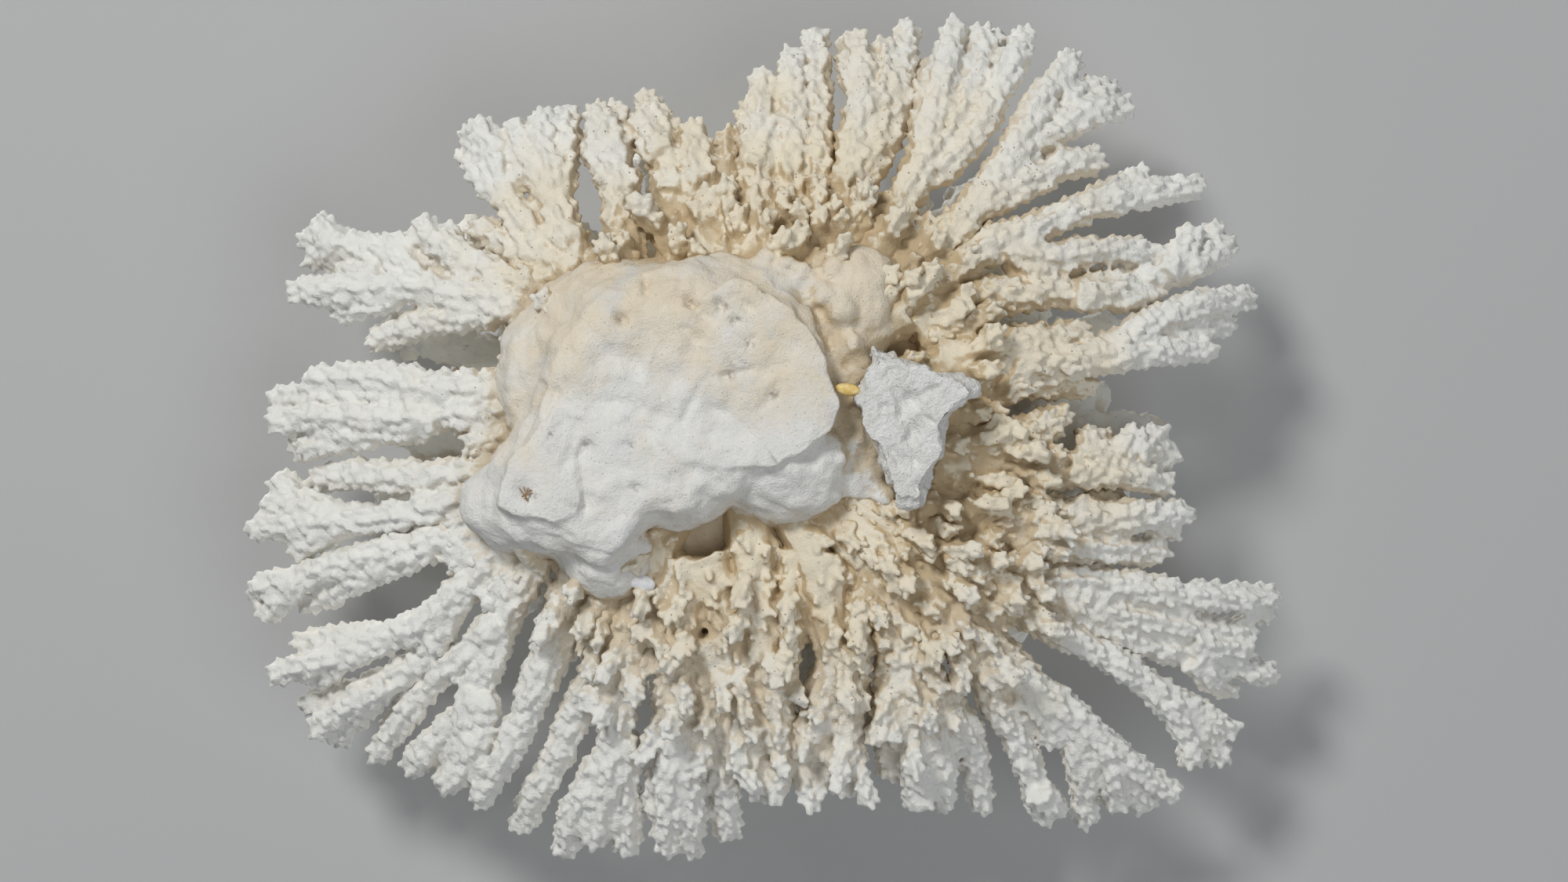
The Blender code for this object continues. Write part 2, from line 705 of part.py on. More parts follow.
def in_crown_centre(path):
    return path[-1][0].to_2d().length < CROWN_CENTRE_REACH * CROWN_CENTRE_SHARE


def build_crown(group, cutters, material):
    floor = cone("crown_floor", GAP / 2, cutters)
    corners = []
    for step in range(len(CROWN_NAMES)):
        turn = CROWN_FIRST_GAP + step * CROWN_SECTOR
        corners.append(Vector((CROWN_CENTRE_REACH * math.cos(turn), CROWN_CENTRE_REACH * math.sin(turn), 0.0)))
    centre_bounds = prism("centre_bounds", corners, 0.0, 150.0, -GAP / 2, cutters)
    centre_room = prism("centre_room", corners, -20.0, 160.0, GAP / 2, cutters)
    paths = [branchlet_path(order) for order in range(CROWN_BRANCHLETS)]
    rings = [crown_ring(share, segments) for share, segments in RINGS]
    in_centre = [path for path in paths if in_crown_centre(path)]
    centre = tubes("crown_centre", in_centre + rings[:2], group)
    fuse(centre, BRANCHLET_TRIANGLES * (len(in_centre) + CROWN_CENTRE_EXTRA))
    cut(centre, floor, "INTERSECT")
    cut(centre, centre_bounds, "INTERSECT")
    keep_largest_body(centre)
    centre.data.materials.append(material)
    for step, name in enumerate(CROWN_NAMES):
        first = CROWN_FIRST_GAP + step * CROWN_SECTOR
        last = first + CROWN_SECTOR
        own = []
        for path in paths:
            tip = path[-1][0]
            turn = (math.atan2(tip.y, tip.x) - first) % math.tau
            if turn < CROWN_SECTOR and not in_crown_centre(path):
                own.append(path)
        piece = tubes(name, own + rings[1:], group)
        fuse(piece, BRANCHLET_TRIANGLES * len(own))
        for turn, side in ((first, -1), (last, 1)):
            outer = Vector((math.cos(turn), math.sin(turn), 0.0))
            cut(piece, half_space(name + "_side", Vector((0.0, 0.0, 0.0)), outer, side, cutters), "DIFFERENCE")
        cut(piece, floor, "INTERSECT")
        cut(piece, centre_room, "DIFFERENCE")
        keep_largest_body(piece)
        piece.data.materials.append(material)


def main():
    for thing in list(bpy.data.objects):
        bpy.data.objects.remove(thing)
    colony = collection("branching_coral_colony")
    cutters = collection("cutters")
    branch_white = plain_material("bleached_branch", (0.72, 0.70, 0.64), 0.85)
    base_cream = plain_material("worn_base", (0.70, 0.66, 0.57), 0.8)
    chalk_white = plain_material("broken_chalk", (0.83, 0.83, 0.81), 0.9)
    foot_room = foot_solid("foot_room", GAP, -10.0, FOOT_HEIGHT, cutters)
    foot_room.display_type = "WIRE"
    foot_room.hide_render = True
    build_foot(colony, chalk_white)
    build_base(colony, cutters, base_cream)
    build_fans(colony, cutters, branch_white)
    build_crown(colony, cutters, branch_white)


main()
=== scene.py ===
import math

import bmesh
import bpy
import numpy as np
from mathutils import Matrix, Vector, noise


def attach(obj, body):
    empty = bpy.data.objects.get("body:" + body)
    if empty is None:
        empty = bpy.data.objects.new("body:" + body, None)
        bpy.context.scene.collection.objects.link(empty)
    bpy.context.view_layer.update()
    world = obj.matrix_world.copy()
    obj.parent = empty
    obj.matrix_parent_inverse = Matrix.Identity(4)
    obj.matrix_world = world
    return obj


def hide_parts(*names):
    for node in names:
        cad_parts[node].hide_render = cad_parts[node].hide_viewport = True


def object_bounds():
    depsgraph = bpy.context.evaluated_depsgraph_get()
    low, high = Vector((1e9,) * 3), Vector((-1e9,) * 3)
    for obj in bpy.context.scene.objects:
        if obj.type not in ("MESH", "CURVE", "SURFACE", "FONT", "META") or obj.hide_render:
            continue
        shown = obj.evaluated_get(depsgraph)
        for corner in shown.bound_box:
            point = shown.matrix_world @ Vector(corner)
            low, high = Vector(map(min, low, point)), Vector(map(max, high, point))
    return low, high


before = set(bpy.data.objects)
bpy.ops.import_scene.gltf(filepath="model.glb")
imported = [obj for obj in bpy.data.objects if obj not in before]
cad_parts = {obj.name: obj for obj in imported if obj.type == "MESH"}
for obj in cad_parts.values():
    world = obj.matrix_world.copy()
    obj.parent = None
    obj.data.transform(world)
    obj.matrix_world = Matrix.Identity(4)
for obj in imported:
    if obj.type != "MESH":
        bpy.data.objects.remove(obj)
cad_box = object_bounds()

# The stage: a pale floor under the colony, and a pale backdrop just above its crown. The camera
# looks straight up at the colony's underside, so each of the two shows only from its own side.
MM = 0.001
EYE_DISTANCE = 0.778
TIP_PLANE = 0.050
EYE_X = 0.006
EYE_Y = 0.0005
LENS = 70.0
SENSOR = 36.0
CLIP_NEAR = 0.01
CLIP_FAR = 20.0

scene = bpy.context.scene
scene.view_settings.view_transform = "Standard"
camera_data = bpy.data.cameras.new("camera")
camera_data.lens = LENS
camera_data.sensor_width = SENSOR
camera_data.clip_start = CLIP_NEAR
camera_data.clip_end = CLIP_FAR
camera = bpy.data.objects.new("camera", camera_data)
camera.location = (EYE_X, EYE_Y, TIP_PLANE - EYE_DISTANCE)
camera.rotation_euler = (math.pi, 0.0, 0.0)
scene.collection.objects.link(camera)
scene.camera = camera


def live(sockets, name):
    """The socket of this name that a node's present settings use."""
    return [socket for socket in sockets if socket.name == name and socket.enabled][0]


STAGE_SIZE = 8.0
STAGE_ROUGHNESS = 0.9
MOTTLE_SCALE = 3.0
MOTTLE_SHADE = 0.97


def new_material(name):
    """A new material, with its node tree and its shader."""
    material = bpy.data.materials.new(name)
    material.use_nodes = True
    tree = material.node_tree
    return material, tree, tree.nodes["Principled BSDF"]


def one_sided_material(name, colour):
    """A matt surface that can be seen through from its back."""
    material, tree, shader = new_material(name)
    nodes = tree.nodes
    links = tree.links
    shader.inputs["Roughness"].default_value = STAGE_ROUGHNESS
    mottle = nodes.new("ShaderNodeTexNoise")
    mottle.inputs["Scale"].default_value = MOTTLE_SCALE
    tone = nodes.new("ShaderNodeMix")
    tone.data_type = "RGBA"
    live(tone.inputs, "A").default_value = (*(MOTTLE_SHADE * channel for channel in colour), 1.0)
    live(tone.inputs, "B").default_value = (*colour, 1.0)
    place = nodes.new("ShaderNodeTexCoord")
    links.new(place.outputs["Object"], mottle.inputs["Vector"])
    links.new(mottle.outputs["Fac"], live(tone.inputs, "Factor"))
    links.new(live(tone.outputs, "Result"), shader.inputs["Base Color"])
    side = nodes.new("ShaderNodeNewGeometry")
    clear = nodes.new("ShaderNodeBsdfTransparent")
    choice = nodes.new("ShaderNodeMixShader")
    links.new(side.outputs["Backfacing"], choice.inputs["Fac"])
    links.new(shader.outputs["BSDF"], choice.inputs[1])
    links.new(clear.outputs["BSDF"], choice.inputs[2])
    links.new(choice.outputs["Shader"], nodes["Material Output"].inputs["Surface"])
    return material


def stage_plane(name, height, turned_down, colour):
    """A wide plane that shows from above only, or from below only where it is turned down."""
    bpy.ops.object.select_all(action="DESELECT")
    bpy.ops.mesh.primitive_plane_add(size=STAGE_SIZE)
    plane = bpy.context.object
    plane.name = name
    if turned_down:
        plane.data.flip_normals()
    plane.data.transform(Matrix.Translation((0.0, 0.0, height)))
    plane.data.materials.append(one_sided_material(name, colour))
    plane.visible_shadow = False
    plane.visible_diffuse = False


FLOOR_CLEARANCE = 0.0002
BACKDROP_CLEARANCE = 0.002
stage_plane("floor", -FLOOR_CLEARANCE, False, (0.62, 0.62, 0.61))
stage_plane("backdrop", cad_box[1][2] + BACKDROP_CLEARANCE, True, (0.46, 0.465, 0.47))


def soft_light(name, place, size, watts, colour):
    """A round soft light that points at the middle of the colony."""
    light = bpy.data.lights.new(name, "AREA")
    light.shape = "DISK"
    light.size = size
    light.energy = watts
    light.color = colour
    lamp = bpy.data.objects.new(name, light)
    lamp.location = place
    lamp.rotation_euler = (COLONY_MIDDLE - Vector(place)).to_track_quat("-Z", "Y").to_euler()
    lamp.visible_camera = False
    scene.collection.objects.link(lamp)


COLONY_MIDDLE = Vector((0.0, 0.0, 0.04))
WARM_LIGHT = (1.0, 0.99, 0.965)
COOL_LIGHT = (0.96, 0.98, 1.0)
soft_light("key_below", (-0.65, -0.85, -1.2), 0.4, 16.0, WARM_LIGHT)
soft_light("fill_below", (0.6, 0.5, -1.3), 1.2, 6.5, COOL_LIGHT)
soft_light("key_above", (-0.9, -1.1, 1.4), 0.5, 21.0, WARM_LIGHT)
soft_light("fill_above", (1.2, 0.9, 1.3), 1.4, 7.0, COOL_LIGHT)

SKY_COLOUR = (0.92, 0.94, 0.96)
SKY_STRENGTH = 0.22
world = bpy.data.worlds.new("studio")
scene.world = world
world.use_nodes = True
sky = world.node_tree.nodes["Background"]
sky.inputs["Color"].default_value = (*SKY_COLOUR, 1.0)
sky.inputs["Strength"].default_value = SKY_STRENGTH


# The fans: flat sprays of fused branches that fork off the base and end in free fingers, of matt
# and chalky aragonite. Free fingers are cool white, the older inner wood is cream with dark dots of
# painted shade for its pore openings, and hollows hold an ochre stain. Each fan is grown from
# tapered tubes along its fingers.
def new_group(name, inputs, outputs):
    """An empty node group with its inputs, its outputs and their nodes."""
    group = bpy.data.node_groups.new(name, "ShaderNodeTree")
    for label, kind, value in inputs:
        socket = group.interface.new_socket(label, in_out="INPUT", socket_type=kind)
        socket.default_value = value
    for label, kind in outputs:
        group.interface.new_socket(label, in_out="OUTPUT", socket_type=kind)
    return group, group.nodes.new("NodeGroupInput"), group.nodes.new("NodeGroupOutput")


def placed_group(tree, group, place, **values):
    """A node group set in a material, reading its place and these values."""
    node = tree.nodes.new("ShaderNodeGroup")
    node.node_tree = group
    for label, value in values.items():
        node.inputs[label].default_value = value
    tree.links.new(place, node.inputs["Vector"])
    return node


def noise_on(tree, vector, scale, detail, roughness=0.55):
    """A noise texture read at this vector."""
    texture = tree.nodes.new("ShaderNodeTexNoise")
    texture.inputs["Scale"].default_value = scale
    texture.inputs["Detail"].default_value = detail
    texture.inputs["Roughness"].default_value = roughness
    tree.links.new(vector, texture.inputs["Vector"])
    return texture.outputs["Fac"]


def reckon(tree, operation, *values):
    """A math node on sockets and plain numbers."""
    node = tree.nodes.new("ShaderNodeMath")
    node.operation = operation
    for socket, value in zip(node.inputs, values):
        if isinstance(value, (int, float)):
            socket.default_value = value
        else:
            tree.links.new(value, socket)
    return node.outputs[0]


def ramp(tree, value, low, high):
    """Map low..high to 0..1 with soft ends."""
    node = tree.nodes.new("ShaderNodeMapRange")
    node.interpolation_type = "SMOOTHSTEP"
    node.inputs["From Min"].default_value = low
    node.inputs["From Max"].default_value = high
    tree.links.new(value, node.inputs["Value"])
    return node.outputs["Result"]


def mixed(tree, factor, first, second, mode="MIX"):
    """A colour mix of sockets or plain colours."""
    node = tree.nodes.new("ShaderNodeMix")
    node.data_type = "RGBA"
    node.blend_type = mode
    if isinstance(factor, (int, float)):
        live(node.inputs, "Factor").default_value = factor
    else:
        tree.links.new(factor, live(node.inputs, "Factor"))
    for label, value in (("A", first), ("B", second)):
        if isinstance(value, tuple):
            live(node.inputs, label).default_value = (*value, 1.0)
        else:
            tree.links.new(value, live(node.inputs, label))
    return live(node.outputs, "Result")


def stored(tree, name):
    """The value that each vertex stores under this name."""
    node = tree.nodes.new("ShaderNodeAttribute")
    node.attribute_name = name
    return node.outputs["Fac"]


chalk_grain, grain_in, grain_out = new_group(
    "chalk_grain",
    (("Vector", "NodeSocketVector", (0.0, 0.0, 0.0)), ("Coarseness", "NodeSocketFloat", 1.0)),
    (("Height", "NodeSocketFloat"), ("Shade", "NodeSocketFloat")),
)
spot = grain_in.outputs["Vector"]
fine = noise_on(chalk_grain, spot, 2600.0, 2.0)
coarse = noise_on(chalk_grain, spot, 700.0, 4.0, 0.65)
broad = noise_on(chalk_grain, spot, 130.0, 3.0)
weighted = reckon(chalk_grain, "MULTIPLY", coarse, grain_in.outputs["Coarseness"])
raised = reckon(chalk_grain, "MULTIPLY_ADD", fine, 0.4, weighted)
chalk_grain.links.new(raised, grain_out.inputs["Height"])
clouded = reckon(chalk_grain, "MULTIPLY_ADD", broad, 0.6, reckon(chalk_grain, "MULTIPLY", coarse, 0.4))
chalk_grain.links.new(clouded, grain_out.inputs["Shade"])

# Painted shade: dark dots where pore openings would hold shade, in scattered Voronoi cells.
pore_shade_dots, pore_in, pore_out = new_group(
    "pore_shade_dots",
    (("Vector", "NodeSocketVector", (0.0, 0.0, 0.0)), ("Scale", "NodeSocketFloat", 330.0)),
    (("Pore Shade", "NodeSocketFloat"),),
)
spot = pore_in.outputs["Vector"]
cells = pore_shade_dots.nodes.new("ShaderNodeTexVoronoi")
cells.inputs["Randomness"].default_value = 0.85
pore_shade_dots.links.new(spot, cells.inputs["Vector"])
pore_shade_dots.links.new(pore_in.outputs["Scale"], cells.inputs["Scale"])
some = noise_on(pore_shade_dots, spot, 90.0, 2.0)
near = ramp(pore_shade_dots, cells.outputs["Distance"], 0.15, 0.07)
pore_shade = reckon(pore_shade_dots, "MULTIPLY", near, ramp(pore_shade_dots, some, 0.32, 0.48))
pore_shade_dots.links.new(pore_shade, pore_out.inputs["Pore Shade"])


BUMP_STRENGTH = 0.8
CHALK_SPECULAR = 0.25
CHALK_ROUGHNESS = 0.78
CHALK_ROUGHER = 0.16


def coral_material(name, coarseness, bump_depth):
    """A chalky coral material; its colour is still to be linked."""
    material, tree, shader = new_material(name)
    place = tree.nodes.new("ShaderNodeTexCoord").outputs["Object"]
    grain = placed_group(tree, chalk_grain, place, Coarseness=coarseness)
    bump = tree.nodes.new("ShaderNodeBump")
    bump.inputs["Distance"].default_value = bump_depth
    bump.inputs["Strength"].default_value = BUMP_STRENGTH
    tree.links.new(grain.outputs["Height"], bump.inputs["Height"])
    shader.inputs["Specular IOR Level"].default_value = CHALK_SPECULAR
    tree.links.new(bump.outputs["Normal"], shader.inputs["Normal"])
    rough = ramp(tree, grain.outputs["Shade"], 0.2, 0.8)
    rough = reckon(tree, "MULTIPLY_ADD", rough, CHALK_ROUGHER, CHALK_ROUGHNESS)
    tree.links.new(rough, shader.inputs["Roughness"])
    return material, tree, place, grain, shader


def shaded(tree, colour, grain, depth):
    """A colour made lighter and darker by the grain's cloudy shade."""
    tone = reckon(tree, "MULTIPLY_ADD", grain.outputs["Shade"], depth, 1.0 - 0.6 * depth)
    lightness = tree.nodes.new("ShaderNodeCombineColor")
    for channel in ("Red", "Green", "Blue"):
        tree.links.new(tone, lightness.inputs[channel])
    return mixed(tree, 1.0, colour, lightness.outputs["Color"], "MULTIPLY")


FINGER_WHITE = (0.82, 0.82, 0.785)
INNER_CREAM = (0.80, 0.725, 0.575)
STAIN_OCHRE = (0.56, 0.44, 0.275)
PORE_SHADE_BROWN = (0.17, 0.13, 0.10)
branch_material, tree, place, grain, shader = coral_material("bleached_branch", 1.0, 0.0005)
patches = noise_on(tree, place, 55.0, 3.0)
cream = ramp(tree, reckon(tree, "MULTIPLY_ADD", patches, 1.4, stored(tree, "cream")), 0.75, 1.75)
wood = mixed(tree, cream, FINGER_WHITE, INNER_CREAM)
# Painted shade of the pore openings, dotted over the older cream wood.
pore_shade = placed_group(tree, pore_shade_dots, place, Scale=450.0)
pore_shade_reach = ramp(tree, stored(tree, "cream"), 0.05, 0.5)
pore_shade_reach = reckon(tree, "MULTIPLY", pore_shade_reach, 0.75)
wood = mixed(tree, reckon(tree, "MULTIPLY", pore_shade.outputs["Pore Shade"], pore_shade_reach), wood, PORE_SHADE_BROWN)
blotches = noise_on(tree, place, 120.0, 4.0, 0.7)
stained = ramp(tree, reckon(tree, "MULTIPLY_ADD", blotches, 0.6, stored(tree, "hollow")), 0.55, 1.05)
old_wood = reckon(tree, "MULTIPLY_ADD", stored(tree, "cream"), 0.85, 0.14)
wood = mixed(tree, reckon(tree, "MULTIPLY", stained, old_wood), wood, STAIN_OCHRE)
tree.links.new(shaded(tree, wood, grain, 0.24), shader.inputs["Base Color"])

FAN_ROOT_HEIGHT = 20.0
FAN_RISE = 29.0
FAN_RISE_POWER = 1.5
FAN_ROOT_REACH = 35.0
FAN_FULL_REACH = 132.0
FAN_TOP = 51.0
TIP_LIFT = 3.0
TIP_SHARE = 0.8
DEPTH_STEPS = (0.0, 5.0, 2.5, 7.0)
STEM_RADIUS = 6.6
FINGER_RADIUS = 3.35
SLIMMING_REACH = 64.0
SLIMMING_POWER = 0.8
WEB_RADIUS = 5.6
WEB_LIFT = 2.0
WEB_LENGTH = 11.0
WEB_SOUTHWARD = 5.0
WEB_EASTWARD = 3.0
WEB_END_SHARE = 0.7
RIDGE_CENTRE = (-8.0, -4.0)
RIDGE_LIFT = 1.0
RIDGE_TAPER = 1.0

# Each fan: its name, the gap to the next fan going round, and the plan of its fingers, in
# millimetres, as they show from below on the plane of the fingertips. Each finger is a row of
# its points' x and y, from the root to the tip.
FANS = (
    ("fan_west_top", ((-56, -40), (-90, -62)), (
        (-46, -30, -66, -35, -82, -38, -94, -39, -108, -38, -121, -37),
        (-84, -38, -94, -46, -106, -50, -117, -51), (-107, -50, -114, -56), (-108, -50, -115, -45),
        (-88, -41, -94, -53), (-98, -40, -110, -45), (-92, -37, -109, -32),
        (-66, -34, -76, -32, -86, -30, -100, -24),
        (-56, -36, -62, -40, -74, -45, -82, -50, -88, -56), (-72, -44, -89, -47),
        (-78, -48, -81, -54),
    )),
    ("fan_northwest", ((-44, -43), (-45, -92)), (
        (-45, -34, -54, -46, -60, -54, -65, -62, -69, -72, -72, -81), (-68, -70, -75, -78),
        (-68, -71, -67, -79), (-64, -61, -72, -69, -75, -74),
        (-45, -36, -50, -52, -53, -64, -55, -74, -56, -84), (-52, -61, -50, -74, -49, -85),
        (-53, -62, -60, -72, -63, -82), (-55, -46, -66, -51, -74, -54),
    )),
    ("fan_north_left", ((-6, -45), (-5, -94)), (
        (-34, -38, -35, -54, -36, -68, -40, -78, -41, -86), (-37, -72, -37, -86),
        (-36, -64, -41, -73, -43, -78), (-20, -38, -22, -56, -24, -70, -27, -80, -29, -89),
        (-25, -72, -32, -83), (-23, -62, -22, -81), (-14, -38, -15, -58, -16, -70, -17, -81),
        (-10, -40, -9, -64, -8, -79),
    )),
    ("fan_north", ((14, -46), (19, -104)), (
        (-1, -40, -1, -62, 0, -78, 1, -94), (-1, -72, -3, -86),
        (6, -40, 7, -60, 8, -76, 8, -88, 9, -100), (12, -40, 14, -62, 14, -80, 14, -92, 14, -105),
    )),
    ("fan_north_right", ((23, -47), (46, -104)), (
        (18, -40, 22, -62, 25, -78, 26, -92, 24, -104), (25, -88, 22, -101),
        (26, -70, 31, -88, 32, -102), (24, -64, 33, -80, 36, -94, 38, -106),
    )),
    ("fan_northeast_tall", ((38, -47), (75, -104)), (
        (25, -38, 32, -54, 40, -68, 44, -82, 47, -94, 50, -107), (42, -76, 42, -88, 44, -96),
        (40, -66, 50, -82, 55, -94, 57, -105), (54, -92, 61, -104),
        (44, -68, 53, -76, 59, -86, 64, -96, 68, -105),
    )),
    ("fan_northeast_wide", ((40, -43), (110, -79)), (
        (33, -39, 48, -52, 62, -69, 70, -84, 81, -99), (58, -65, 72, -78, 80, -87, 87, -91),
        (70, -76, 84, -83, 95, -85), (82, -83, 90, -90), (54, -58, 62, -62, 76, -69, 88, -72),
    )),
    ("fan_east_top", ((46, -27), (130, -43)), (
        (36, -34, 52, -46, 70, -54, 86, -60, 113, -65), (84, -60, 99, -68),
        (62, -50, 70, -46, 86, -48, 102, -47),
        (38, -30, 56, -36, 78, -38, 96, -40, 110, -45, 117, -55), (104, -42, 111, -54),
        (109, -44, 121, -50), (80, -37, 103, -36),
    )),
    ("fan_east_flat", ((46, -8), (110, -11)), (
        (42, -16, 62, -20, 82, -20, 98, -22, 116, -23), (82, -21, 102, -27, 121, -30),
        (90, -24, 110, -34, 126, -36), (62, -18, 70, -15, 86, -14), (44, -20, 64, -24, 84, -27),
    )),
    ("fan_east_blunt", ((46, 13), (114, 15)), (
        (44, 2, 64, 0, 79, -7), (44, 6, 56, 7, 70, 8, 86, 6, 96, 5, 107, 3), (83, 6, 84, -3),
        (85, 6, 89, -1), (92, 5, 96, -3), (95, 5, 103, -2), (78, 8, 94, 9, 105, 12),
    )),
    ("fan_east_short", ((46, 25), (116, 35)), (
        (43, 18, 66, 19, 86, 20, 98, 19, 110, 19), (96, 19, 107, 24),
        (56, 20, 72, 26, 88, 28, 104, 29), (80, 19, 93, 15),
    )),
    ("fan_east_long", ((44, 28), (128, 72)), (
        (42, 24, 66, 34, 90, 37, 112, 40, 132, 40), (122, 40, 130, 45),
        (70, 36, 90, 44, 110, 48, 126, 49), (76, 40, 92, 50, 112, 55, 132, 61), (110, 52, 126, 54),
        (110, 56, 120, 65),
    )),
    ("fan_southeast_outer", ((40, 31), (112, 91)), (
        (41, 27, 56, 36, 72, 46, 94, 59, 106, 70, 111, 84), (102, 66, 113, 74, 118, 83),
        (98, 62, 122, 75),
    )),
    ("fan_southeast", ((32, 34), (70, 98)), (
        (36, 30, 60, 54, 78, 69, 90, 80, 106, 91), (84, 74, 94, 84, 99, 95),
        (82, 72, 89, 84, 91, 95), (78, 70, 82, 84, 83, 99), (54, 48, 66, 62, 76, 78),
        (50, 46, 54, 56, 61, 68, 68, 82, 73, 98), (71, 90, 76, 96),
    )),
    ("fan_south_right", ((24, 34), (31, 96)), (
        (28, 30, 34, 52, 38, 72, 40, 94), (34, 56, 34, 74, 33, 87),
        (30, 30, 40, 56, 45, 74, 47, 95), (42, 60, 52, 74, 57, 95), (39, 78, 42, 95),
    )),
    ("fan_south_short", ((8, 34), (8, 100)), (
        (15, 29, 18, 48, 22, 64, 22, 78, 22, 91), (20, 56, 28, 70), (19, 58, 12, 76, 10, 88),
        (15, 70, 15, 86),
    )),
    ("fan_south", ((-25, 34), (-31, 106)), (
        (-2, 29, 0, 48, 3, 64, 6, 84), (-14, 30, -8, 48, -5, 68, -2, 88), (-5, 68, 1, 93),
        (-14, 50, -11, 74, -8, 102), (-20, 30, -21, 54, -23, 76, -24, 92, -24, 106),
        (-22, 74, -18, 94, -18, 107), (-23, 78, -28, 96), (-18, 66, -15, 91),
    )),
    ("fan_south_left", ((-38, 37), (-68, 97)), (
        (-30, 32, -33, 52, -36, 68, -39, 86, -43, 104), (-38, 80, -47, 94, -50, 107),
        (-35, 76, -34, 106), (-34, 50, -46, 68, -52, 82, -57, 90, -61, 100),
    )),
    ("fan_southwest_inner", ((-62, 34), (-110, 86)), (
        (-46, 32, -54, 56, -60, 70, -66, 82, -73, 93),
        (-56, 28, -64, 42, -70, 58, -76, 70, -84, 78, -90, 85), (-73, 64, -76, 78, -80, 87),
        (-66, 46, -74, 54, -84, 62, -92, 72, -99, 82), (-70, 64, -73, 80, -82, 90),
    )),
    ("fan_southwest", ((-70, 27), (-124, 51)), (
        (-64, 26, -82, 44, -98, 52, -108, 56, -126, 60), (-94, 50, -119, 52), (-106, 56, -115, 63),
        (-80, 44, -86, 56, -100, 64, -117, 68), (-99, 64, -115, 75), (-95, 62, -109, 77),
    )),
    ("fan_west_low", ((-70, 19), (-134, 35)), (
        (-67, 22, -94, 28, -110, 33, -131, 39), (-84, 27, -104, 36, -117, 43), (-118, 36, -127, 46),
    )),
    ("fan_west_spiky", ((-66, 0), (-130, 8)), (
        (-66, 13, -90, 19, -108, 21, -131, 23), (-105, 20, -116, 16, -124, 9), (-114, 18, -127, 16),
        (-66, 8, -86, 10, -102, 9, -115, 11), (-106, 22, -120, 29),
    )),
    ("fan_west", ((-58, -24), (-130, -19)), (
        (-60, -12, -82, -13, -98, -16, -117, -15), (-78, -12, -104, -11, -125, -10),
        (-60, -8, -86, -6, -108, -6, -126, -4), (-82, -5, -90, -3, -108, 0, -120, 3),
    )),
)


def pick(thing):
    bpy.ops.object.select_all(action="DESELECT")
    thing.select_set(True)
    bpy.context.view_layer.objects.active = thing


def apply_modifiers(thing):
    pick(thing)
    for name in [modifier.name for modifier in thing.modifiers]:
        bpy.ops.object.modifier_apply(modifier=name)


def placed(x, y, height):
    """The place, in millimetres, of what shows at x, y from below and lies at this height."""
    share = 1.0 - (TIP_PLANE / MM - height) / (EYE_DISTANCE / MM)
    eye = np.array((EYE_X / MM, EYE_Y / MM))
    flat = eye + (np.array((x, y)) - eye) * share
    return np.array((flat[0], flat[1], height))


def fan_height(x, y):
    reach = max(0.0, math.hypot(x, y) - FAN_ROOT_REACH) / (FAN_FULL_REACH - FAN_ROOT_REACH)
    return min(FAN_TOP, FAN_ROOT_HEIGHT + FAN_RISE * reach ** FAN_RISE_POWER)


def branch_radius(x, y):
    reach = min(1.0, max(0.0, math.hypot(x, y) - FAN_ROOT_REACH) / SLIMMING_REACH)
    return STEM_RADIUS + (FINGER_RADIUS - STEM_RADIUS) * reach ** SLIMMING_POWER


def smooth_route(points, radii, step):
    """Points about a step apart on a curve through the given ones, with radii to match."""
    points = np.array(points, dtype=float)
    route = [points[0]]
    widths = [radii[0]]
    last = len(points) - 1
    for index in range(last):
        before = points[max(index - 1, 0)]
        start = points[index]
        end = points[index + 1]
        after = points[min(index + 2, last)]
        count = max(1, round(np.linalg.norm(end - start) / step))
        for share in (np.arange(count) + 1.0) / count:
            curve = (
                2.0 * start
                + (end - before) * share
                + (2.0 * before - 5.0 * start + 4.0 * end - after) * share ** 2
                + (3.0 * start - before - 3.0 * end + after) * share ** 3
            )
            route.append(curve / 2.0)
            widths.append(radii[index] + (radii[index + 1] - radii[index]) * share)
    return np.array(route), np.array(widths)


chance = np.random.default_rng(738)
ROUTE_STEP = 2.4
KNOBBLE = 0.12
WANDER = 0.35


def finger_route(points, radii):
    """One finger's curve, with small swellings along it, as a real branch has."""
    route, widths = smooth_route(points, radii, ROUTE_STEP)
    count = len(route)
    widths = widths * (1.0 + KNOBBLE * chance.uniform(-1.0, 1.0, count))
    drift = chance.uniform(-WANDER, WANDER, (count, 3))
    drift[0] = 0.0
    drift[-1] = 0.0
    return route + drift, widths


def tube_shells(name, routes):
    """Tapered tubes along the routes, as one mesh of overlapping shells."""
    curve = bpy.data.curves.new(name, "CURVE")
    curve.dimensions = "3D"
    curve.bevel_depth = MM
    curve.bevel_resolution = 2
    curve.use_fill_caps = True
    for route, widths in routes:
        spline = curve.splines.new("POLY")
        spline.points.add(len(route) - 1)
        spline.points.foreach_set("co", np.column_stack((route * MM, np.ones(len(route)))).ravel())
        spline.points.foreach_set("radius", widths)
    shells = bpy.data.objects.new(name, curve)
    scene.collection.objects.link(shells)
    pick(shells)
    bpy.ops.object.convert(target="MESH")
    return bpy.context.object


def fuse_skin(skin, voxel, rounds=1):
    """Fuse a mesh's shells into one skin and soften the creases between them."""
    remesh = skin.modifiers.new("fuse", "REMESH")
    remesh.mode = "VOXEL"
    remesh.voxel_size = voxel * MM
    soften = skin.modifiers.new("soften", "SMOOTH")
    soften.factor = 0.5
    soften.iterations = rounds
    apply_modifiers(skin)


def thin_skin(skin, budget):
    """Thin a skin's faces to a number of triangles, and shade it smooth."""
    triangles = sum(len(polygon.vertices) - 2 for polygon in skin.data.polygons)
    if triangles > budget:
        thin = skin.modifiers.new("thin", "DECIMATE")
        thin.ratio = budget / triangles
        apply_modifiers(skin)
    for polygon in skin.data.polygons:
        polygon.use_smooth = True


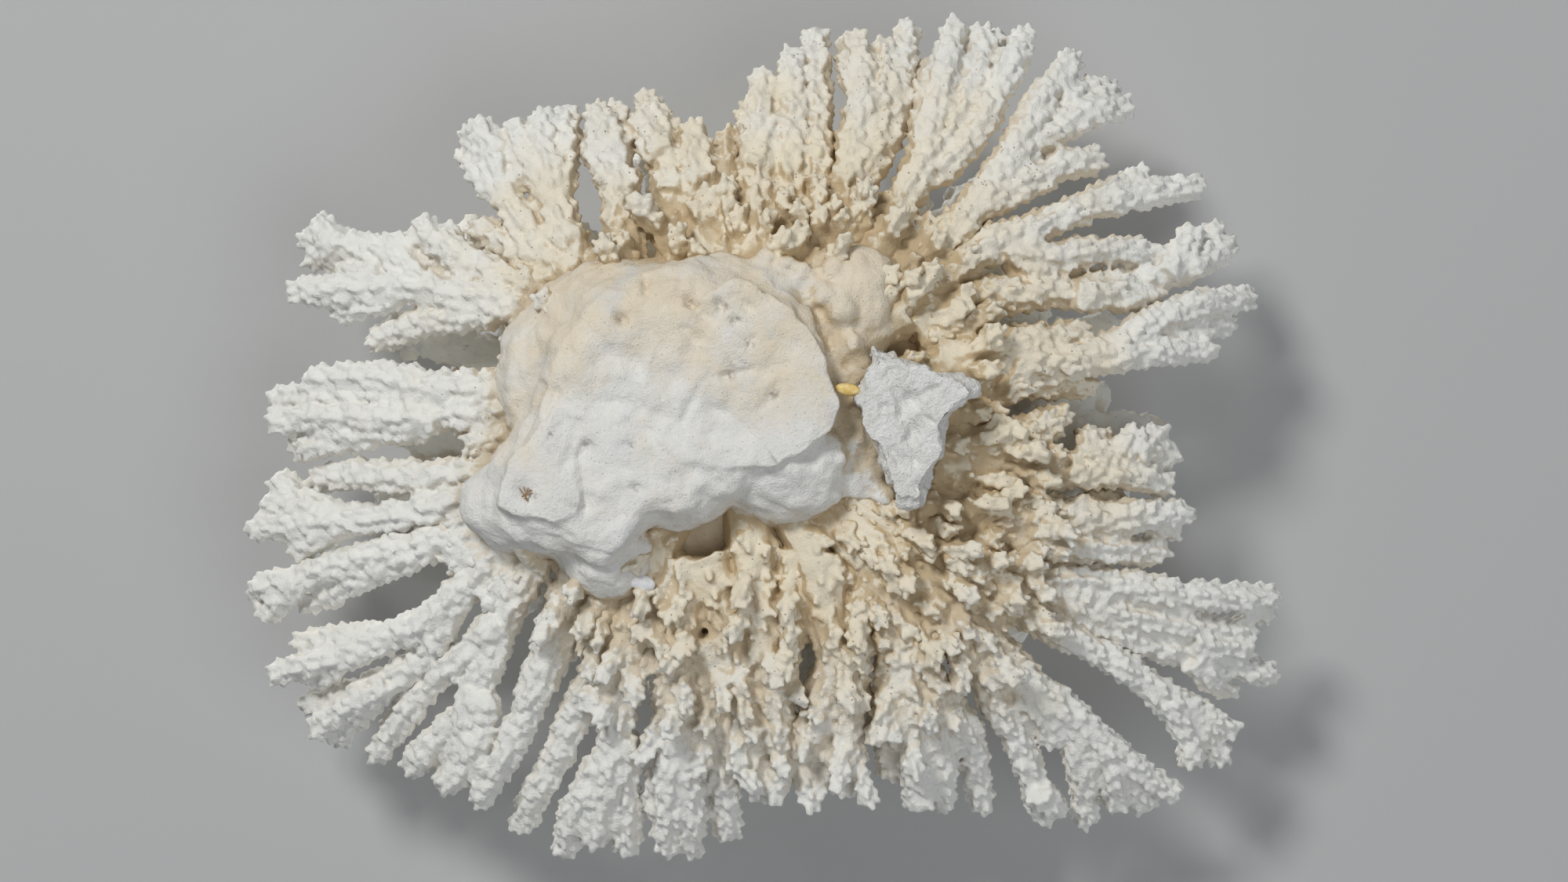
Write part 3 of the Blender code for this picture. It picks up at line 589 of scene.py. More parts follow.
def route_facts(routes):
    """Every route point with its direction and radius."""
    points = []
    ways = []
    widths = []
    for route, width in routes:
        way = np.gradient(route, axis=0)
        points.append(route)
        ways.append(way / np.linalg.norm(way, axis=1, keepdims=True))
        widths.append(width)
    return np.concatenate(points), np.concatenate(ways), np.concatenate(widths)


def each_vertex(mesh, field):
    """The "co" or the "normal" of every vertex."""
    flat = np.empty(len(mesh.vertices) * 3)
    mesh.vertices.foreach_get(field, flat)
    return flat.reshape(-1, 3)


def store(mesh, name, values):
    """Store a number or a direction on each vertex."""
    kind, field = ("FLOAT_VECTOR", "vector") if values.ndim == 2 else ("FLOAT", "value")
    layer = mesh.attributes.new(name, kind, "POINT")
    layer.data.foreach_set(field, np.ascontiguousarray(values, dtype=np.float32).ravel())


# Cream wood reaches furthest out in the fans of the upper right, seen from below.
CREAM_REACH = 78.0
CREAM_SWING = 18.0
CREAM_WAY = math.radians(-50.0)
CREAM_FADE = 58.0


def cream_share(spots):
    """How cream each spot is: 1 near the base, fading outward."""
    reach = np.hypot(spots[:, 0], spots[:, 1])
    way = np.arctan2(spots[:, 1], spots[:, 0])
    limit = CREAM_REACH + CREAM_SWING * np.cos(way - CREAM_WAY)
    return np.clip((limit - reach) / CREAM_FADE + 0.5, 0.0, 1.0)


FREE_FINGER = 4.6
FUSED_STEM = 6.4
LEAST_COVER = 0.2
BLOCK = 4000
BACK_SLOPE = 0.5


def describe_shells(skin, routes, back_share):
    """Store on each vertex which way the tip lies and how dense its cups are."""
    spots = each_vertex(skin.data, "co") / MM
    points, ways, widths = route_facts(routes)
    nearest = np.empty(len(spots), dtype=int)
    for start in range(0, len(spots), BLOCK):
        block = spots[start:start + BLOCK]
        apart = np.linalg.norm(block[:, None, :] - points[None, :, :], axis=2) - widths[None, :]
        nearest[start:start + BLOCK] = apart.argmin(axis=1)
    cover = np.clip((FUSED_STEM - widths[nearest]) / (FUSED_STEM - FREE_FINGER), LEAST_COVER, 1.0)
    turned = each_vertex(skin.data, "normal")[:, 2]
    cover = cover * np.where(turned > BACK_SLOPE, back_share, 1.0)
    store(skin.data, "toward_tip", ways[nearest])
    store(skin.data, "cover", cover)


# The outlines of the base lump and of the foot. No branchlet grows out of their worn faces.
LUMP_OUTLINE = (
    (-45, -40), (-34, -44), (-20, -45), (-2, -43), (12, -40), (18, -26), (21, -12), (18, -2), (6, 8),
    (-6, 16), (-18, 22), (-28, 21), (-34, 28), (-39, 36), (-54, 31), (-66, 26), (-71, 20), (-66, 6),
    (-62, -8), (-56, -24), (-50, -34),
)
FOOT_OUTLINE = (
    (28.6, -24), (33, -21.5), (37, -19.6), (42, -19.6), (48, -16.5), (54, -13), (50, -8), (46, -3),
    (44, 6), (41, 17), (36, 16), (32, 8), (30, 0), (24, -10), (26.5, -16),
)
SPUR_LIMIT = 54.0
SPUR_LIMIT_SWING = 27.0
SPUR_WAY = math.radians(72.0)
SPUR_SPACING = 6.5
SPUR_UNEVEN = 2.5
SPUR_FORWARD = (1.3, 2.3)
SPUR_SIDEWAYS = 0.8
SPUR_LENGTH = (6.0, 12.0)
SPUR_RADIUS = (1.9, 2.6)
SPUR_ROOT_SWELL = 0.8
SPUR_GROUND_GAP = 2.0


def is_inside(outline, x, y):
    """Whether a plan position lies inside an outline."""
    crossings = 0
    for (x_from, y_from), (x_to, y_to) in zip(outline, outline[1:] + outline[:1]):
        if (y_from > y) != (y_to > y) and x < x_from + (y - y_from) / (y_to - y_from) * (x_to - x_from):
            crossings += 1
    return crossings % 2 == 1


def spur_limit(x, y):
    """How far out short branchlets grow: further on the lower side, seen from below."""
    return SPUR_LIMIT + SPUR_LIMIT_SWING * max(0.0, math.cos(math.atan2(y, x) - SPUR_WAY))


def camera_side_spurs(routes):
    """Short branchlets on the underside of a fan, where it is still one plate."""
    spurs = []
    for route, widths in routes:
        travelled = chance.uniform(0.0, SPUR_SPACING)
        for index in range(1, len(route)):
            travelled += np.linalg.norm(route[index] - route[index - 1])
            x, y = route[index][:2]
            if travelled < SPUR_SPACING or math.hypot(x, y) > spur_limit(x, y):
                continue
            travelled = chance.uniform(-SPUR_UNEVEN, SPUR_UNEVEN)
            way = route[index] - route[index - 1]
            way = way / np.linalg.norm(way)
            across = np.cross(way, (0.0, 0.0, 1.0)) * chance.uniform(-SPUR_SIDEWAYS, SPUR_SIDEWAYS)
            lean = way * chance.uniform(*SPUR_FORWARD) + across + np.array((0.0, 0.0, -1.0))
            length = widths[index] + chance.uniform(*SPUR_LENGTH)
            tip = route[index] + lean / np.linalg.norm(lean) * length
            tip[2] = max(tip[2], SPUR_RADIUS[1] + SPUR_GROUND_GAP)
            if is_inside(LUMP_OUTLINE, *tip[:2]) or is_inside(FOOT_OUTLINE, *tip[:2]):
                continue
            thick = chance.uniform(*SPUR_RADIUS)
            points = (route[index], (route[index] + tip) / 2, tip)
            spurs.append(finger_route(points, (thick + SPUR_ROOT_SWELL, thick, thick * TIP_SHARE)))
    return spurs


def web_route(gap):
    """The web that fills the root of a gap between two fans."""
    inner, outer = np.array(gap, dtype=float)
    away = inner / np.linalg.norm(inner)
    length = WEB_LENGTH + WEB_SOUTHWARD * away[1] + WEB_EASTWARD * away[0]
    way = (outer - inner) / np.linalg.norm(outer - inner)
    points = []
    for reach in (-WEB_RADIUS, length / 2, length):
        x, y = inner + way * reach
        points.append(placed(x, y, fan_height(x, y) + WEB_LIFT))
    return finger_route(points, (WEB_RADIUS, WEB_RADIUS, WEB_RADIUS * WEB_END_SHARE))


def root_route(fingers):
    """The branch wood that ties a fan to the middle of the base."""
    root = fingers[0][0]
    inner = (np.array(RIDGE_CENTRE) + root) / 2
    ends = (placed(*inner, FAN_ROOT_HEIGHT + RIDGE_LIFT), placed(*root, FAN_ROOT_HEIGHT))
    return smooth_route(ends, (STEM_RADIUS - RIDGE_TAPER, STEM_RADIUS), ROUTE_STEP)


# Neighbouring fingers that run closer than this are still one plate.
PLATE_GAP = 9.5
PLATE_LIFT = 2.5
PLATE_SHARE = 0.66
PLATE_SAMPLES = 9
PLATE_FREE_SAMPLES = 4


def along(plan, shares):
    """The plan positions at these shares of a plan's length."""
    travelled = np.concatenate(([0.0], np.cumsum(np.linalg.norm(np.diff(plan, axis=0), axis=1))))
    reached = shares * travelled[-1]
    return np.column_stack([np.interp(reached, travelled, plan[:, axis]) for axis in (0, 1)])


def plate_strands(fingers):
    """The wood between neighbouring fingers, as far out as they run close together."""
    strands = []
    shares = np.linspace(0.0, 1.0, PLATE_SAMPLES)
    for left, right in zip(fingers, fingers[1:]):
        left_line = along(left, shares)
        right_line = along(right, shares)
        close = np.linalg.norm(left_line - right_line, axis=1) < PLATE_GAP
        count = len(close) if close.all() else int(close.argmin())
        count = min(count, PLATE_SAMPLES - PLATE_FREE_SAMPLES)
        if count < 2:
            continue
        middle = (left_line[:count] + right_line[:count]) / 2
        points = [placed(x, y, fan_height(x, y) + PLATE_LIFT) for x, y in middle]
        strands.append(finger_route(points, [branch_radius(x, y) * PLATE_SHARE for x, y in middle]))
    return strands


TIP_TRIM = 1.9


def own_finger(plan, rank):
    """The route of one finger, at its own depth in the fan, with a lifted tip."""
    points = []
    radii = []
    last = len(plan) - 1
    for order, (x, y) in enumerate(plan):
        height = fan_height(x, y) + DEPTH_STEPS[rank % len(DEPTH_STEPS)] * order / last
        height += TIP_LIFT if order == last else 0.0
        points.append(placed(x, y, height))
        radii.append(branch_radius(x, y) if order < last else FINGER_RADIUS * TIP_SHARE)
    way = points[-1] - points[-2]
    points[-1] = points[-1] - way / np.linalg.norm(way) * TIP_TRIM
    return finger_route(points, radii)


def settle_piece(piece, node, material):
    """Give a piece its material, hang it on the root body, and hide the CAD part it stands for."""
    piece.data.materials.clear()
    piece.data.materials.append(material)
    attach(piece, "root")
    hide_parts(node)


# One cup, the tube that housed a polyp. Copies of it cover every branch and lean toward its tip.
CUP_FOOT_RADIUS = 1.1
CUP_LIP_RADIUS = 0.85
CUP_HEIGHT = 2.45
CUP_SUNK = 0.6
CUP_SPACING = 1.8
CUP_LEAN = 1.5
CUP_SIZES = (0.8, 1.1)
CUP_DENSITY = 600000.0
CUP_SEED = 7
bpy.ops.object.select_all(action="DESELECT")
bpy.ops.mesh.primitive_cone_add(
    vertices=6, radius1=CUP_FOOT_RADIUS * MM, radius2=CUP_LIP_RADIUS * MM, depth=CUP_HEIGHT * MM,
)
cup = bpy.context.object
cup.data.transform(Matrix.Translation((0.0, 0.0, (CUP_HEIGHT / 2 - CUP_SUNK) * MM)))

cup_cover = bpy.data.node_groups.new("cup_cover", "GeometryNodeTree")
for side in ("INPUT", "OUTPUT"):
    cup_cover.interface.new_socket("Geometry", in_out=side, socket_type="NodeSocketGeometry")
nodes = cup_cover.nodes
links = cup_cover.links
branches = nodes.new("NodeGroupInput").outputs["Geometry"]
cover = nodes.new("GeometryNodeInputNamedAttribute")
cover.inputs["Name"].default_value = "cover"
toward_tip = nodes.new("GeometryNodeInputNamedAttribute")
toward_tip.data_type = "FLOAT_VECTOR"
toward_tip.inputs["Name"].default_value = "toward_tip"
scatter = nodes.new("GeometryNodeDistributePointsOnFaces")
scatter.distribute_method = "POISSON"
scatter.inputs["Distance Min"].default_value = CUP_SPACING * MM
scatter.inputs["Density Max"].default_value = CUP_DENSITY
scatter.inputs["Seed"].default_value = CUP_SEED
links.new(branches, scatter.inputs["Mesh"])
links.new(live(cover.outputs, "Attribute"), scatter.inputs["Density Factor"])
lean = nodes.new("ShaderNodeVectorMath")
lean.operation = "MULTIPLY_ADD"
lean.inputs[1].default_value = (CUP_LEAN, CUP_LEAN, CUP_LEAN)
links.new(live(toward_tip.outputs, "Attribute"), lean.inputs[0])
links.new(scatter.outputs["Normal"], lean.inputs[2])
aim = nodes.new("FunctionNodeAlignRotationToVector")
aim.axis = "Z"
links.new(lean.outputs[0], aim.inputs["Vector"])
vary = nodes.new("FunctionNodeRandomValue")
vary.data_type = "FLOAT"
live(vary.inputs, "Min").default_value = CUP_SIZES[0]
live(vary.inputs, "Max").default_value = CUP_SIZES[1]
source = nodes.new("GeometryNodeObjectInfo")
source.inputs["Object"].default_value = cup
copies = nodes.new("GeometryNodeInstanceOnPoints")
links.new(scatter.outputs["Points"], copies.inputs["Points"])
links.new(source.outputs["Geometry"], copies.inputs["Instance"])
links.new(aim.outputs["Rotation"], copies.inputs["Rotation"])
links.new(live(vary.outputs, "Value"), copies.inputs["Scale"])
real = nodes.new("GeometryNodeRealizeInstances")
links.new(copies.outputs["Instances"], real.inputs["Geometry"])
joined = nodes.new("GeometryNodeJoinGeometry")
links.new(branches, joined.inputs["Geometry"])
links.new(real.outputs["Geometry"], joined.inputs["Geometry"])
links.new(joined.outputs["Geometry"], nodes.new("NodeGroupOutput").inputs["Geometry"])


CUP_SOFTENING = 2


def cupped_branches(name, routes, voxel, budget, back_share):
    """Branches along the routes, covered with cups and fused into one skin."""
    piece = tube_shells(name, routes)
    describe_shells(piece, routes, back_share)
    dress = piece.modifiers.new("cups", "NODES")
    dress.node_group = cup_cover
    apply_modifiers(piece)
    fuse_skin(piece, voxel, CUP_SOFTENING)
    thin_skin(piece, budget)
    return piece


FAN_VOXEL = 0.55
FAN_BUDGET = 62.0
FAN_BACK_SHARE = 0.3
grown = []
for order, (name, gap_after, rows) in enumerate(FANS):
    gap_before = FANS[order - 1][1]
    fingers = [np.array(row, dtype=float).reshape(-1, 2) for row in rows]
    free = [own_finger(plan, rank) for rank, plan in enumerate(fingers)]
    root = root_route(fingers)
    webs = [web_route(gap_before), web_route(gap_after)] + plate_strands(fingers)
    routes = free + camera_side_spurs([root] + free + webs) + webs + [root]
    wood_length = sum(len(route) for route, widths in routes) * ROUTE_STEP
    budget = round(FAN_BUDGET * wood_length)
    fan = cupped_branches(name + "_coral", routes, FAN_VOXEL, budget, FAN_BACK_SHARE)
    store(fan.data, "cream", cream_share(each_vertex(fan.data, "co") / MM))
    settle_piece(fan, name, branch_material)
    grown.append(fan)


# The crown: upright branchlets on the colony's upper side, set in a sunflower spiral round the
# trunk. They are of the same wood as the fans, and whiter, because they are younger.
CROWN_BRANCHLETS = 90
CROWN_SPREAD = 0.54
CROWN_LENGTH = 104.0
CROWN_WIDTH = 84.0
CROWN_TOP = 91.0
CROWN_DROP = 17.0
CROWN_UNEVENNESS = 3.0
CROWN_UNEVEN_TURN = 2.3
CROWN_TIP_ALLOWANCE = 4.4
CROWN_CENTRE_REACH = 27.0
CROWN_CENTRE_SHARE = 0.86
GOLDEN_ANGLE = math.radians(137.508)
CROWN_NAMES = (
    "crown_east", "crown_south", "crown_southwest", "crown_west", "crown_north", "crown_northeast",
)
CROWN_SECTOR = math.tau / len(CROWN_NAMES)
CROWN_FIRST_GAP = math.radians(-32.0)
CONE_APEX_HEIGHT = 22.0
CONE_SLOPE = 0.3
ROOT_SHARE = 0.3
ROOT_FLOOR = 2.0
FOOT_SHARE = 0.84
FOOT_FLOOR = 8.0
SHOULDER_SHARE = 0.95
BRANCHLET_RADII = (4.8, 4.4, 3.4, 2.6)
TWIG_RADII = (2.9, 2.6, 2.2)
TWIG_LENGTH = (7.0, 11.0)
TWIG_TURN = 2.2
TWIG_UPWARD = 1.3
TWIG_START = (-0.4, 0.5)
TWIG_BELOW_TIP = 0.5
CROWN_CREAM = 0.25
CROWN_VOXEL = 0.72
CROWN_BUDGET = 24000


def cone_height(reach):
    return CONE_APEX_HEIGHT + CONE_SLOPE * reach


def branchlet_points(order):
    """One branchlet: a low root toward the middle, a foot, a shoulder and its tip."""
    share = ((order + 0.5) / CROWN_BRANCHLETS) ** CROWN_SPREAD
    turn = order * GOLDEN_ANGLE
    x = CROWN_LENGTH * share * math.cos(turn)
    y = CROWN_WIDTH * share * math.sin(turn)
    uneven = CROWN_UNEVENNESS * (1.0 - math.cos(CROWN_UNEVEN_TURN * order)) / 2
    height = CROWN_TOP - CROWN_DROP * share ** 2 - uneven - CROWN_TIP_ALLOWANCE
    reach = math.hypot(x, y)
    foot_height = cone_height(reach * FOOT_SHARE) + FOOT_FLOOR
    return (
        np.array((x * ROOT_SHARE, y * ROOT_SHARE, cone_height(reach * ROOT_SHARE) + ROOT_FLOOR)),
        np.array((x * FOOT_SHARE, y * FOOT_SHARE, foot_height)),
        np.array((x * SHOULDER_SHARE, y * SHOULDER_SHARE, (foot_height + height) / 2)),
        np.array((x, y, height)),
    )


def twigs(points):
    """Two or three short side fingers on a branchlet's upper half."""
    shoulder, tip = points[2:]
    found = []
    first_turn = chance.uniform(0.0, math.tau)
    for step in range(int(chance.integers(2, 4))):
        turn = first_turn + step * TWIG_TURN
        start = shoulder + (tip - shoulder) * chance.uniform(*TWIG_START)
        lean = np.array((math.cos(turn), math.sin(turn), TWIG_UPWARD))
        end = start + lean / np.linalg.norm(lean) * chance.uniform(*TWIG_LENGTH)
        end[2] = min(end[2], tip[2] - TWIG_BELOW_TIP)
        found.append(finger_route((start, (start + end) / 2, end), TWIG_RADII))
    return found


crown_routes = {name: [] for name in ("crown_centre",) + CROWN_NAMES}
for order in range(CROWN_BRANCHLETS):
    points = branchlet_points(order)
    x, y = points[3][:2]
    if math.hypot(x, y) < CROWN_CENTRE_REACH * CROWN_CENTRE_SHARE:
        name = "crown_centre"
    else:
        name = CROWN_NAMES[int((math.atan2(y, x) - CROWN_FIRST_GAP) % math.tau / CROWN_SECTOR)]
    crown_routes[name].append(finger_route(points, BRANCHLET_RADII))
    crown_routes[name] += twigs(points)
for name, routes in crown_routes.items():
    piece = cupped_branches(name + "_coral", routes, CROWN_VOXEL, CROWN_BUDGET, 1.0)
    store(piece.data, "cream", np.full(len(piece.data.vertices), CROWN_CREAM))
    settle_piece(piece, name, branch_material)
    grown.append(piece)
bpy.data.objects.remove(cup)


# The base lump: the worn root of the colony, of dense, smooth coral rock. It was broken off its
# ground, which left a flat plateau with a thin lip, a lower knob, cracks and small pits.
PLATEAU_OUTLINE = (
    (-25, -30), (-13, -38), (-5, -42), (1, -39), (7, -34), (13, -27), (18, -19), (21, -6),
    (14, 1), (-2, 8), (-14, 8), (-24, 4), (-30, -4), (-31, -16),
)
KNOB_OUTLINE = (
    (-53, -8), (-47, 0), (-44, 8), (-46, 19), (-54, 21), (-66, 19), (-68, 16), (-65, 8), (-60, -1),
)
BASE_MASSES = (
    (1, -12, 15, 22, 19, 13),
    (-56, 11, 15, 12, 13, 13),
    (-26, -14, 23, 41, 31, 20),
    (-38, -30, 22, 20, 15, 17),
    (-6, -34, 22, 26, 13, 18),
    (-40, 27, 21, 13, 13, 14),
    (-60, 17, 21, 14, 12, 14),
    (6, 4, 19, 20, 17, 16),
    (24, -34, 24, 18, 13, 13),
    (-8, -4, 29, 62, 44, 10),
    (21, -32, 17, 15, 17, 8),
    (22, 2, 16, 12, 14, 7),
)
# Smooth overgrown buds in the corner between the plateau and the foot: centre, depth and radius.
BUDS = (
    (15, -37, 9, 4.6), (21, -32, 9, 5.2), (23, -24, 9, 5.4), (18, -43, 11, 4.4), (11, -42, 10, 4.0),
    (26, -18, 9, 4.2), (28, -31, 12, 4.6), (21, -43, 13, 4.2), (7, -44, 11, 4.0), (24, -38, 12, 4.4),
    (2, -46, 12, 3.6), (22, -15, 8, 3.8), (24, -8, 9, 3.6), (25, 0, 9, 4.0), (19, 5, 8, 4.2),
    (12, 8, 8, 4.4), (25, 8, 11, 4.0), (18, 13, 10, 3.8), (5, 13, 9, 3.8), (31, 14, 12, 3.6),
)
# Heights above the cut, each with how far an outline is drawn in or out there.
LUMP_STEPS = ((0.7, 0.72), (2.2, 0.86), (6.0, 0.95), (12.0, 0.99), (22.0, 1.0))
LEDGE_STEPS = ((-0.25, 0.985), (0.8, 1.0), (5.0, 1.0))
BUD_SHARE = 0.85
BUD_SINK = 2.0
BASE_VOXEL = 0.75
BASE_SOFTENING = 3
BASE_BUDGET = 100000


def rounded(outline):
    """An outline with its corners cut twice."""
    corners = np.array(outline, dtype=float)
    for _ in range(2):
        following = np.roll(corners, -1, axis=0)
        cut = np.stack((0.75 * corners + 0.25 * following, 0.25 * corners + 0.75 * following), axis=1)
        corners = cut.reshape(-1, 2)
    return corners


def slab_shell(body, outline, steps):
    """A closed slab with this outline, drawn in or out about its middle at each height."""
    middle = np.mean(outline, axis=0)
    rings = []
    for height, share in steps:
        flat = [middle + (np.array(corner) - middle) * share for corner in outline]
        rings.append([body.verts.new(Vector(placed(x, y, height)) * MM) for x, y in flat])
    for lower, upper in zip(rings, rings[1:]):
        for index in range(len(outline)):
            body.faces.new((lower[index - 1], lower[index], upper[index], upper[index - 1]))
    body.faces.new(rings[0])
    body.faces.new(rings[-1])


def skin_from(body, name):
    """Turn closed shells into a new object."""
    bmesh.ops.recalc_face_normals(body, faces=body.faces)
    skin = bpy.data.objects.new(name, bpy.data.meshes.new(name))
    body.to_mesh(skin.data)
    body.free()
    scene.collection.objects.link(skin)
    return skin


body = bmesh.new()
for x, y, height, half_x, half_y, half_z in BASE_MASSES:
    size = Matrix.Diagonal((half_x * MM, half_y * MM, half_z * MM, 1.0))
    centre = Matrix.Translation(Vector(placed(x, y, height)) * MM)
    bmesh.ops.create_icosphere(body, subdivisions=4, radius=1.0, matrix=centre @ size)
for x, y, height, radius in BUDS:
    radius *= BUD_SHARE
    centre = Matrix.Translation(Vector(placed(x, y, height + BUD_SINK)) * MM)
    bmesh.ops.create_icosphere(body, subdivisions=3, radius=radius * MM, matrix=centre)
slab_shell(body, rounded(LUMP_OUTLINE), LUMP_STEPS)
slab_shell(body, rounded(PLATEAU_OUTLINE), LEDGE_STEPS)
slab_shell(body, rounded(KNOB_OUTLINE), LEDGE_STEPS)
base = skin_from(body, "base_lump_coral")
fuse_skin(base, BASE_VOXEL, BASE_SOFTENING)

# Wear of the base: dents and cracks. Each is a line from x, y to x, y, its half width and depth.
SCARS = (
    (-18.5, -35.5, -17, -34, 1, 2.6),
    (-10.5, -34.5, -9.5, -33, 1.2, 2.4),
    (-14.5, -31.5, -11, -31, 2.2, 1.8),
    (-6.8, -30.2, -5.8, -29.6, 1, 2.6),
    (-29.3, -41, -29, -37.5, 0.9, 2),
    (-36.5, -31.5, -35, -30, 1, 2.4),
    (-3.2, -22.5, -1.6, -26, 0.8, 1.6),
    (-9.2, -16, -3, -17.5, 1.1, 1.4),
    (2.5, -9.5, 4.5, -13, 1.6, 0.9),
    (-44.5, 1.2, -43.5, 1.6, 1, 2.2),
    (-34.5, 1.5, -32.5, 2, 0.9, 1.4),
    (-32, 12.5, -31, 12.5, 0.9, 1.4),
    (-60, 14, -59, 15.5, 0.9, 1.4),
    (-24, -24, -19, -22, 2.6, 1),
    (-38, -22, -33, -20, 3, 1.3),
    (-40, -10, -26, -6, 2.4, 0.9),
    (-20, -28, -16, -25, 1.8, 1.6),
    (-7, -36, -3, -33, 1.4, 1.5),
    (-13, -8, -8, -6, 1.5, 0.7),
    (6, -20, 9, -14, 1.3, 0.6),
    (-16, -12, -20, -4, 1, 0.8),
    (-46, -4, -50, 8, 1.6, 1),
    (-45.5, 4, -44.5, 17, 1.8, 2),
    (-60.5, 13, -58.5, 14.5, 2.4, 1.2),
    (-56, -14, -62, 0, 1, 1),
    (-52, -12, -58, 2, 0.8, 0.8),
)
RELIEF_SCALES = ((24.0, 2.0), (10.0, 1.5), (4.5, 0.9), (2.0, 0.38))
SCAR_HEIGHT = 3.0
SCAR_SLOPE = 0.2


def weathered(piece, scales, scars):
    """Roughen a piece's surface, dent it at its scars, and keep it above the cut."""
    spots = each_vertex(piece.data, "co")
    normals = each_vertex(piece.data, "normal")
    relief = np.zeros(len(spots))
    for index, spot in enumerate(spots / MM):
        for size, depth in scales:
            relief[index] += depth * noise.noise(Vector(spot) / size)
    plan = spots[:, :2] / MM
    for x_from, y_from, x_to, y_to, half_width, depth in scars:
        start = placed(x_from, y_from, SCAR_HEIGHT)[:2]
        way = placed(x_to, y_to, SCAR_HEIGHT)[:2] - start
        share = np.clip((plan - start) @ way / (way @ way), 0.0, 1.0)
        apart = np.linalg.norm(plan - start - share[:, None] * way, axis=1)
        relief -= depth * np.exp(-(apart / half_width) ** 2) * (normals[:, 2] < SCAR_SLOPE)
    spots += normals * relief[:, None] * MM
    spots[:, 2] = np.maximum(spots[:, 2], 0.0)
    piece.data.vertices.foreach_set("co", spots.ravel())
    piece.data.update()


weathered(base, RELIEF_SCALES, SCARS)
thin_skin(base, BASE_BUDGET)

# Dark grey-brown spots on the base, mostly in its dents and cracks: each spot's place and radius.
# Brown plant fibres lie in the knob's dent.
DARK_SPOTS = (
    (-53, -1, 1.3), (-52.5, 2, 1.0), (-51.5, 13, 1.2), (-51.5, 16, 1.6), (-51, 18.5, 1.1),
    (-58.5, 14.5, 1.5), (-18, -35, 1.0), (-9.5, -34, 1.2), (-6.5, -30.5, 1.3), (-44, 1, 1.2),
    (-2.5, -24, 0.9), (-8, -16, 1.2), (3.5, -11.5, 1.2), (-33, 2, 0.8), (-31.5, 12.5, 0.9),
    (28.5, -13, 2.0), (31.5, -9, 1.6), (-36, -31, 1.1),
)
DARK_SPOT_HEIGHT = 2.0
BASE_WHITE = (0.80, 0.795, 0.765)
BASE_CREAM = (0.78, 0.69, 0.545)
WORN_GREY = (0.70, 0.715, 0.72)
DARK_SPOT_GREY = (0.24, 0.20, 0.165)
FIBRE_COLOUR = (0.33, 0.20, 0.095)
CREAM_START = 0.45
CREAM_SHIFT = 12.0
CREAM_WIDTH = 45.0
FIBRE_BROWN = 2.0
FIBRES = (
    ((-61.5, 12.6), (-59.4, 15.6)), ((-60.3, 12.2), (-59.6, 15.9)), ((-59.2, 12.4), (-60.2, 15.4)),
    ((-58.4, 13.0), (-60.8, 14.8)), ((-61.0, 14.6), (-57.8, 13.8)),
)
FIBRE_RADIUS = 0.13
FIBRE_HEIGHT = 0.35
FIBRE_TILT = 0.3
plan = each_vertex(base.data, "co")[:, :2] / MM
dark_marks = np.zeros(len(plan))
for x, y, radius in DARK_SPOTS:
    apart = np.linalg.norm(plan - placed(x, y, DARK_SPOT_HEIGHT)[:2], axis=1)
    dark_marks += np.exp(-(apart / radius) ** 2)
store(base.data, "dark_marks", np.clip(dark_marks, 0.0, 1.0))
creaminess = CREAM_START - (plan[:, 1] + CREAM_SHIFT) / CREAM_WIDTH
store(base.data, "cream", np.clip(creaminess, 0.0, 1.0))
fibre_routes = []
for start, end in FIBRES:
    line = (placed(*start, FIBRE_HEIGHT), placed(*end, FIBRE_HEIGHT + FIBRE_TILT))
    fibre_routes.append(smooth_route(line, (FIBRE_RADIUS, FIBRE_RADIUS), 1.0))
fibres = tube_shells("fibres", fibre_routes)
store(fibres.data, "dark_marks", np.full(len(fibres.data.vertices), FIBRE_BROWN))

base_material, tree, place, grain, shader = coral_material("worn_base", 0.9, 0.0007)
patches = noise_on(tree, place, 42.0, 6.0, 0.62)
creamy = ramp(tree, reckon(tree, "MULTIPLY_ADD", stored(tree, "cream"), 0.35, patches), 0.52, 0.86)
wood = mixed(tree, creamy, BASE_WHITE, BASE_CREAM)
greyed = ramp(tree, noise_on(tree, place, 75.0, 5.0, 0.65), 0.5, 0.7)
wood = mixed(tree, reckon(tree, "MULTIPLY", greyed, 0.6), wood, WORN_GREY)
blotches = noise_on(tree, place, 90.0, 4.0, 0.7)
stained = ramp(tree, reckon(tree, "MULTIPLY_ADD", blotches, 0.4, stored(tree, "hollow")), 0.5, 1.1)
wood = mixed(tree, reckon(tree, "MULTIPLY", stained, 0.8), wood, STAIN_OCHRE)
# Painted shade of the pore openings, fainter, over the base.
pore_shade = placed_group(tree, pore_shade_dots, place, Scale=620.0)
wood = mixed(tree, reckon(tree, "MULTIPLY", pore_shade.outputs["Pore Shade"], 0.45), wood, PORE_SHADE_BROWN)
# Speckled dark grey-brown darkens the base at the dark spots, mostly in its dents and cracks.
scattered = ramp(tree, noise_on(tree, place, 520.0, 3.0, 0.7), 0.45, 0.62)
dark_spotted = reckon(tree, "MULTIPLY", stored(tree, "dark_marks"), scattered)
wood = mixed(tree, reckon(tree, "MULTIPLY", dark_spotted, 0.85), wood, DARK_SPOT_GREY)
wood = mixed(tree, ramp(tree, stored(tree, "dark_marks"), 1.2, 1.8), wood, FIBRE_COLOUR)
tree.links.new(shaded(tree, wood, grain, 0.3), shader.inputs["Base Color"])
fibres.data.materials.append(base_material)
base.data.materials.append(base_material)
pick(base)
fibres.select_set(True)
bpy.ops.object.join()
settle_piece(base, "base_lump", base_material)


